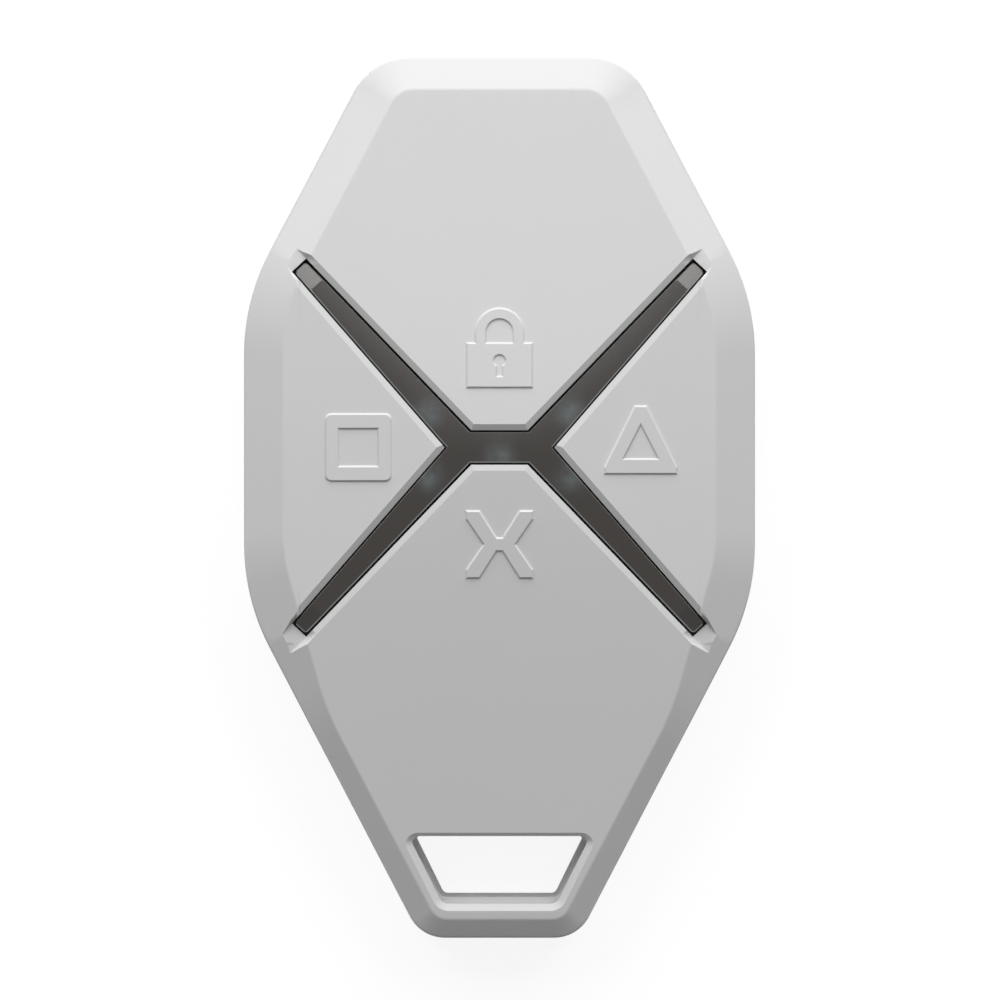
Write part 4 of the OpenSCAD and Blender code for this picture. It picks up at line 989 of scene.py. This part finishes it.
# Face, rounded edge and upright wall, and a flat foot
def lightGuide():
    outline, inset = guideLoop(0), guideLoop(guide["edgeRound"])
    side = np.array([-armRun[1], armRun[0]]) * guide["creaseHalf"]
    start = armEnd - armRun * guide["rampLength"]
    rampLine = np.array([start + side, start - side])
    marks = [(placed(rampLine, sx, sy), False) for sx in (1, -1) for sy in (1, -1)]
    marks += [(guideLoop(guide["edgeRound"] + guide["edgeMargin"]), True)]
    top = heightPatch(fillPlan([inset], marks, guide["faceStep"]), guideTop)
    outward = loopOutward(outline)
    upper, over = ringAt(inset, guideTop(inset)), ringAt(outline, guideTop(outline))
    rings, normals = roundedEdge(upper, over, over - [0, 0, guide["edgeRound"]], outward, 4)
    rings += [rings[-1] - [0, 0, guide["edgeDrop"]], ringAt(outline, guide["foot"])]
    normals += [tilted(outward, 1.0, 0.0)] * 2
    wall = stripPatch(rings[::-1], normals[::-1])
    bottom = heightPatch(fillPlan([outline], [], guide["footStep"]),
                         lambda p: np.full(len(p), guide["foot"]), faceUp=False)
    return [top, wall, bottom]


# Polycarbonate tinted smoke grey, moulded smooth: dark, softly glossy, with the lamps below painted in as
# dim cool pools of light and a pale painted light line on one edge
# pool and edge are the colours of the painted light pools and the painted edge line
smoke = {"colour": "2e2925", "pool": "687374", "edge": "858786", "roughness": 0.2, "specular": 0.35,
         "ior": 1.58, "cloud": 1.2, "grain": 0.14, "bump": 0.3, "depth": 0.01}


def smokyPolycarbonate():
    material, tree, place = newMaterial("smokyPolycarbonate")
    # painted light: the lamps' pools, pale and cool, mixed into the base colour
    glow = addNode(tree, "ShaderNodeAttribute", attribute_name="paintedLampPool")
    cloud = addNode(tree, "ShaderNodeTexNoise", {"Vector": place}, {"Scale": 1 / (smoke["cloud"] * mm)})
    patch = addNode(tree, "ShaderNodeMath", {0: glow.outputs["Fac"], 1: cloud.outputs["Fac"]},
                    operation="MULTIPLY")
    tone = addNode(tree, "ShaderNodeMix", {"Factor": patch.outputs["Value"]},
                   {"A": toLinear(smoke["colour"]), "B": toLinear(smoke["pool"])}, data_type="RGBA")
    # painted light: a pale line on the edge that faces the strap end, mixed into the base colour
    line = addNode(tree, "ShaderNodeAttribute", attribute_name="paintedEdgeLine")
    edged = addNode(tree, "ShaderNodeMix", {"Factor": line.outputs["Fac"], "A": tone.outputs["Result"]},
                    {"B": toLinear(smoke["edge"])}, data_type="RGBA")
    grain = addNode(tree, "ShaderNodeTexNoise", {"Vector": place},
                    {"Scale": 1 / (smoke["grain"] * mm), "Detail": 3.0})
    bump = addNode(tree, "ShaderNodeBump", {"Height": grain.outputs["Fac"]},
                   {"Strength": smoke["bump"], "Distance": smoke["depth"] * mm})
    shader = addNode(tree, "ShaderNodeBsdfPrincipled",
                     {"Base Color": edged.outputs["Result"], "Normal": bump.outputs["Normal"]},
                     {"Roughness": smoke["roughness"], "IOR": smoke["ior"],
                      "Specular IOR Level": smoke["specular"]})
    addNode(tree, "ShaderNodeOutputMaterial", {"Surface": shader.outputs["BSDF"]})
    return material


guidePiece = makePiece("smokyLightGuide", lightGuide(), "light_guide", "casing",
                       smokyPolycarbonate())
# strength of the painted light pools at each vertex: the sum over the lamps of exp(-(distance / pool)^2)
spots = np.empty(len(guidePiece.data.vertices) * 3)
guidePiece.data.vertices.foreach_get("co", spots)
spots = spots.reshape(-1, 3) / mm
reach = np.linalg.norm(spots[:, None, :2] - placed(poolSpots), axis=-1)
pool = guidePiece.data.attributes.new("paintedLampPool", "FLOAT", "POINT")
pool.data.foreach_set("value", np.exp(-(reach / guide["pool"]) ** 2).sum(1).clip(0, 1))
# painted light line on the rounded edge that faces the strap end, where light leaves it: 1 on its rings, 0
# elsewhere
rim = guideLoop(0)
reach = np.linalg.norm(spots[:, None, :2] - rim, axis=-1)
onRim = reach.min(1) < guide["edgeRound"] * 1.1
onRim &= guideTop(spots[:, :2]) - spots[:, 2] < guide["edgeRound"] + 0.01
facing = loopOutward(rim)[reach.argmin(1), 1]
line = guidePiece.data.attributes.new("paintedEdgeLine", "FLOAT", "POINT")
line.data.foreach_set("value", onRim * np.clip(-guide["edgeGlow"] * facing, 0, 1))
print("light guide made")


# Inner parts and screws keep their solids and take a finish each

finishes = {
    # FR4 board under a green solder mask: satin, faintly mottled by the glass weave
    "board_laminate": ("solderMaskedBoard", {
        "colours": ("1d4a2c", "205232"), "patch": 2.0, "roughness": (0.32, 0.42),
        "grain": 0.4, "bump": 0.15, "depth": 0.02}),
    # nylon and epoxy mouldings: dull black
    "black_plastic": ("mouldedNylon", {
        "colours": ("18181a", "202022"), "patch": 3.0, "roughness": (0.5, 0.6),
        "grain": 0.12, "bump": 0.2, "depth": 0.01}),
    # steel, nickel plated: bright, faintly brushed
    "steel": ("nickelPlatedSteel", {
        "colours": ("b9babc", "c6c7c8"), "patch": 1.5, "roughness": (0.25, 0.34),
        "grain": 0.1, "bump": 0.15, "depth": 0.005, "metallic": 1.0}),
    # pressed cap of the cell: a shade darker and duller than the can
    "cell_metal": ("pressedNickelCap", {
        "colours": ("b0b0b2", "bcbcbe"), "patch": 2.5, "roughness": (0.3, 0.42),
        "grain": 0.2, "bump": 0.15, "depth": 0.005, "metallic": 1.0}),
    # polypropylene seal ring: dark grey, waxy
    "seal_plastic": ("mouldedPolypropylene", {
        "colours": ("2e2e32", "37373b"), "patch": 1.0, "roughness": (0.4, 0.5),
        "grain": 0.15, "bump": 0.1, "depth": 0.01}),
    # spring brass strip, rolled: warm yellow with a soft sheen
    "brass": ("rolledBrass", {
        "colours": ("c2a45c", "ccb06a"), "patch": 1.2, "roughness": (0.28, 0.38),
        "grain": 0.12, "bump": 0.15, "depth": 0.005, "metallic": 1.0}),
    # cast epoxy lens on a white lamp body: milky
    "lamp_resin": ("castEpoxy", {
        "colours": ("e6e4d2", "f0eee0"), "patch": 0.6, "roughness": (0.18, 0.26),
        "grain": 0.2, "bump": 0.05, "depth": 0.005}),
    # fired ceramic: tan, matt
    "chip_ceramic": ("firedCeramic", {
        "colours": ("6f5c46", "7b6750"), "patch": 0.5, "roughness": (0.5, 0.62),
        "grain": 0.08, "bump": 0.2, "depth": 0.005}),
}
made = {slotName: finish(*spec) for slotName, spec in finishes.items()}
made["casing_plastic"] = mouldedAbs
slotOf = {part["node"]: part["material_slot"] for part in frame["record"]["subparts"]}
for node, piece in frame["nodes"].items():
    if slotOf[node] in made:
        piece.data.materials.clear()
        piece.data.materials.append(made[slotOf[node]])
print("inner parts finished")


# Floor, light and camera

# floor and lamps in metres, floorGap, fibre, distance and level in millimetres, centre in pixels
studio = {"floor": 0.6, "floorGap": 0.03, "paper": ("e9e9e9", "ececec"), "fibre": 0.8,
          "dome": 0.045, "floorWhite": 0.9, "floorShade": 0.15,
          "boxSize": (3.4, 1.3), "boxPlace": (0.0, 1.26, 0.78), "boxLean": 15.0, "boxRadiance": 3.25,
          "lampSize": (0.21, 0.21), "lampPlace": (0.384, 0.426, 0.819), "lampRadiance": 9.8,
          "stripSize": (0.4, 0.1), "stripPlace": (0.0, 0.16, 0.95), "stripRadiance": 3.1,
          "pixelsPerMm": 13.554, "frame": 1000, "centre": (499.5, 497.5), "distance": 600.0, "level": 4.4}


# 1 for a ray from the camera, or one that a mirror or glass sends on, 0 for a ray that only lights
def seenRay(tree):
    path = addNode(tree, "ShaderNodeLightPath")
    seen = path.outputs["Is Camera Ray"]
    for kind in ("Is Glossy Ray", "Is Transmission Ray"):
        either = addNode(tree, "ShaderNodeMath", {0: seen, 1: path.outputs[kind]}, operation="MAXIMUM")
        seen = either.outputs["Value"]
    return seen


# Pale floor: white to the camera, dimmed where the fob shades it
def paperFloor():
    material, tree, place = newMaterial("paperFloor")
    fibre = addNode(tree, "ShaderNodeTexNoise", {"Vector": place}, {"Scale": 1 / (studio["fibre"] * mm)})
    colours = dict(zip("AB", map(toLinear, studio["paper"])))
    tone = addNode(tree, "ShaderNodeMix", {"Factor": fibre.outputs["Fac"]}, colours, data_type="RGBA")
    plain = addNode(tree, "ShaderNodeBsdfDiffuse", {"Color": tone.outputs["Result"]})
    dim = addNode(tree, "ShaderNodeBsdfDiffuse", inputs={"Color": (studio["floorShade"],) * 3 + (1,)})
    lit = addNode(tree, "ShaderNodeEmission", inputs={"Strength": studio["floorWhite"]})
    seen = addNode(tree, "ShaderNodeAddShader", {0: dim.outputs["BSDF"], 1: lit.outputs["Emission"]})
    mixed = addNode(tree, "ShaderNodeMixShader", {"Fac": seenRay(tree), 1: plain.outputs["BSDF"],
                                                  2: seen.outputs["Shader"]})
    addNode(tree, "ShaderNodeOutputMaterial", {"Surface": mixed.outputs["Shader"]})
    return material


# Flat grid of floor points
def makeFloor():
    half = studio["floor"] / 2
    u, v = np.meshgrid(np.linspace(-half, half, 9), np.linspace(-half, half, 9))
    points = np.stack([u.ravel(), v.ravel(), np.full(u.size, -studio["floorGap"] * mm)], 1)
    index = np.arange(u.size).reshape(u.shape)
    quads = np.stack([index[:-1, :-1], index[:-1, 1:], index[1:, 1:], index[1:, :-1]], -1).reshape(-1, 4)
    mesh = bpy.data.meshes.new("paperFloor")
    mesh.from_pydata(points.tolist(), [], quads.tolist())
    floor = bpy.data.objects.new("paperFloor", mesh)
    bpy.context.collection.objects.link(floor)
    mesh.materials.append(paperFloor())


# White where it is seen, straight or in a mirror; a dim even dome for the soft light that fills the shadows
def makeDome():
    world = bpy.data.worlds.new("softStudio")
    bpy.context.scene.world = world
    world.use_nodes = True
    tree = world.node_tree
    tree.nodes.clear()
    dome = addNode(tree, "ShaderNodeBackground", inputs={"Strength": studio["dome"]})
    white = addNode(tree, "ShaderNodeBackground", inputs={"Strength": 1.0})
    for background in (dome, white):
        background.inputs["Color"].default_value = (1, 1, 1, 1)
    mixed = addNode(tree, "ShaderNodeMixShader", {"Fac": seenRay(tree), 1: dome.outputs["Background"],
                                                  2: white.outputs["Background"]})
    addNode(tree, "ShaderNodeOutputWorld", {"Surface": mixed.outputs["Shader"]})


# Rectangular lamp aimed from its place towards a point; its power is pi times its area times its radiance
def makeLamp(name, size, place, aim, radiance):
    data = bpy.data.lights.new(name, "AREA")
    data.shape = "RECTANGLE"
    data.size, data.size_y = size
    data.energy = math.pi * size[0] * size[1] * radiance
    lamp = bpy.data.objects.new(name, data)
    lamp.location = place
    lamp.rotation_euler = (Vector(aim) - Vector(place)).to_track_quat("-Z", "Y").to_euler()
    bpy.context.collection.objects.link(lamp)


# A wide softbox low beyond the far end, a small lamp high up on either side, and a strip overhead
def makeLamps():
    _, y, z = studio["boxPlace"]
    drop = y * math.tan(math.radians(studio["boxLean"]))
    makeLamp("softbox", studio["boxSize"], studio["boxPlace"], (0, 0, z - drop), studio["boxRadiance"])
    x, y, z = studio["lampPlace"]
    for name, side in (("rightLamp", 1), ("leftLamp", -1)):
        makeLamp(name, studio["lampSize"], (side * x, y, z), (0, 0, 0), studio["lampRadiance"])
    makeLamp("stripLamp", studio["stripSize"], studio["stripPlace"], (0, 0, 0), studio["stripRadiance"])


# Long lens straight above the front, with the fob's length up the picture
def makeCamera():
    data = bpy.data.cameras.new("frontCamera")
    camera = bpy.data.objects.new("frontCamera", data)
    bpy.context.collection.objects.link(camera)
    data.sensor_width = 36.0
    data.lens = data.sensor_width * studio["distance"] * studio["pixelsPerMm"] / studio["frame"]
    middle = studio["frame"] / 2
    offset = [middle - studio["centre"][0], studio["centre"][1] - middle]
    x, y = [pixels / studio["pixelsPerMm"] for pixels in offset]
    camera.location = (x * mm, y * mm, (studio["distance"] + studio["level"]) * mm)
    data.clip_start, data.clip_end = 0.01, 10.0
    bpy.context.scene.camera = camera


makeFloor()
makeDome()
makeLamps()
makeCamera()
bpy.context.scene.view_settings.view_transform = "Standard"
print("floor, light and camera placed")
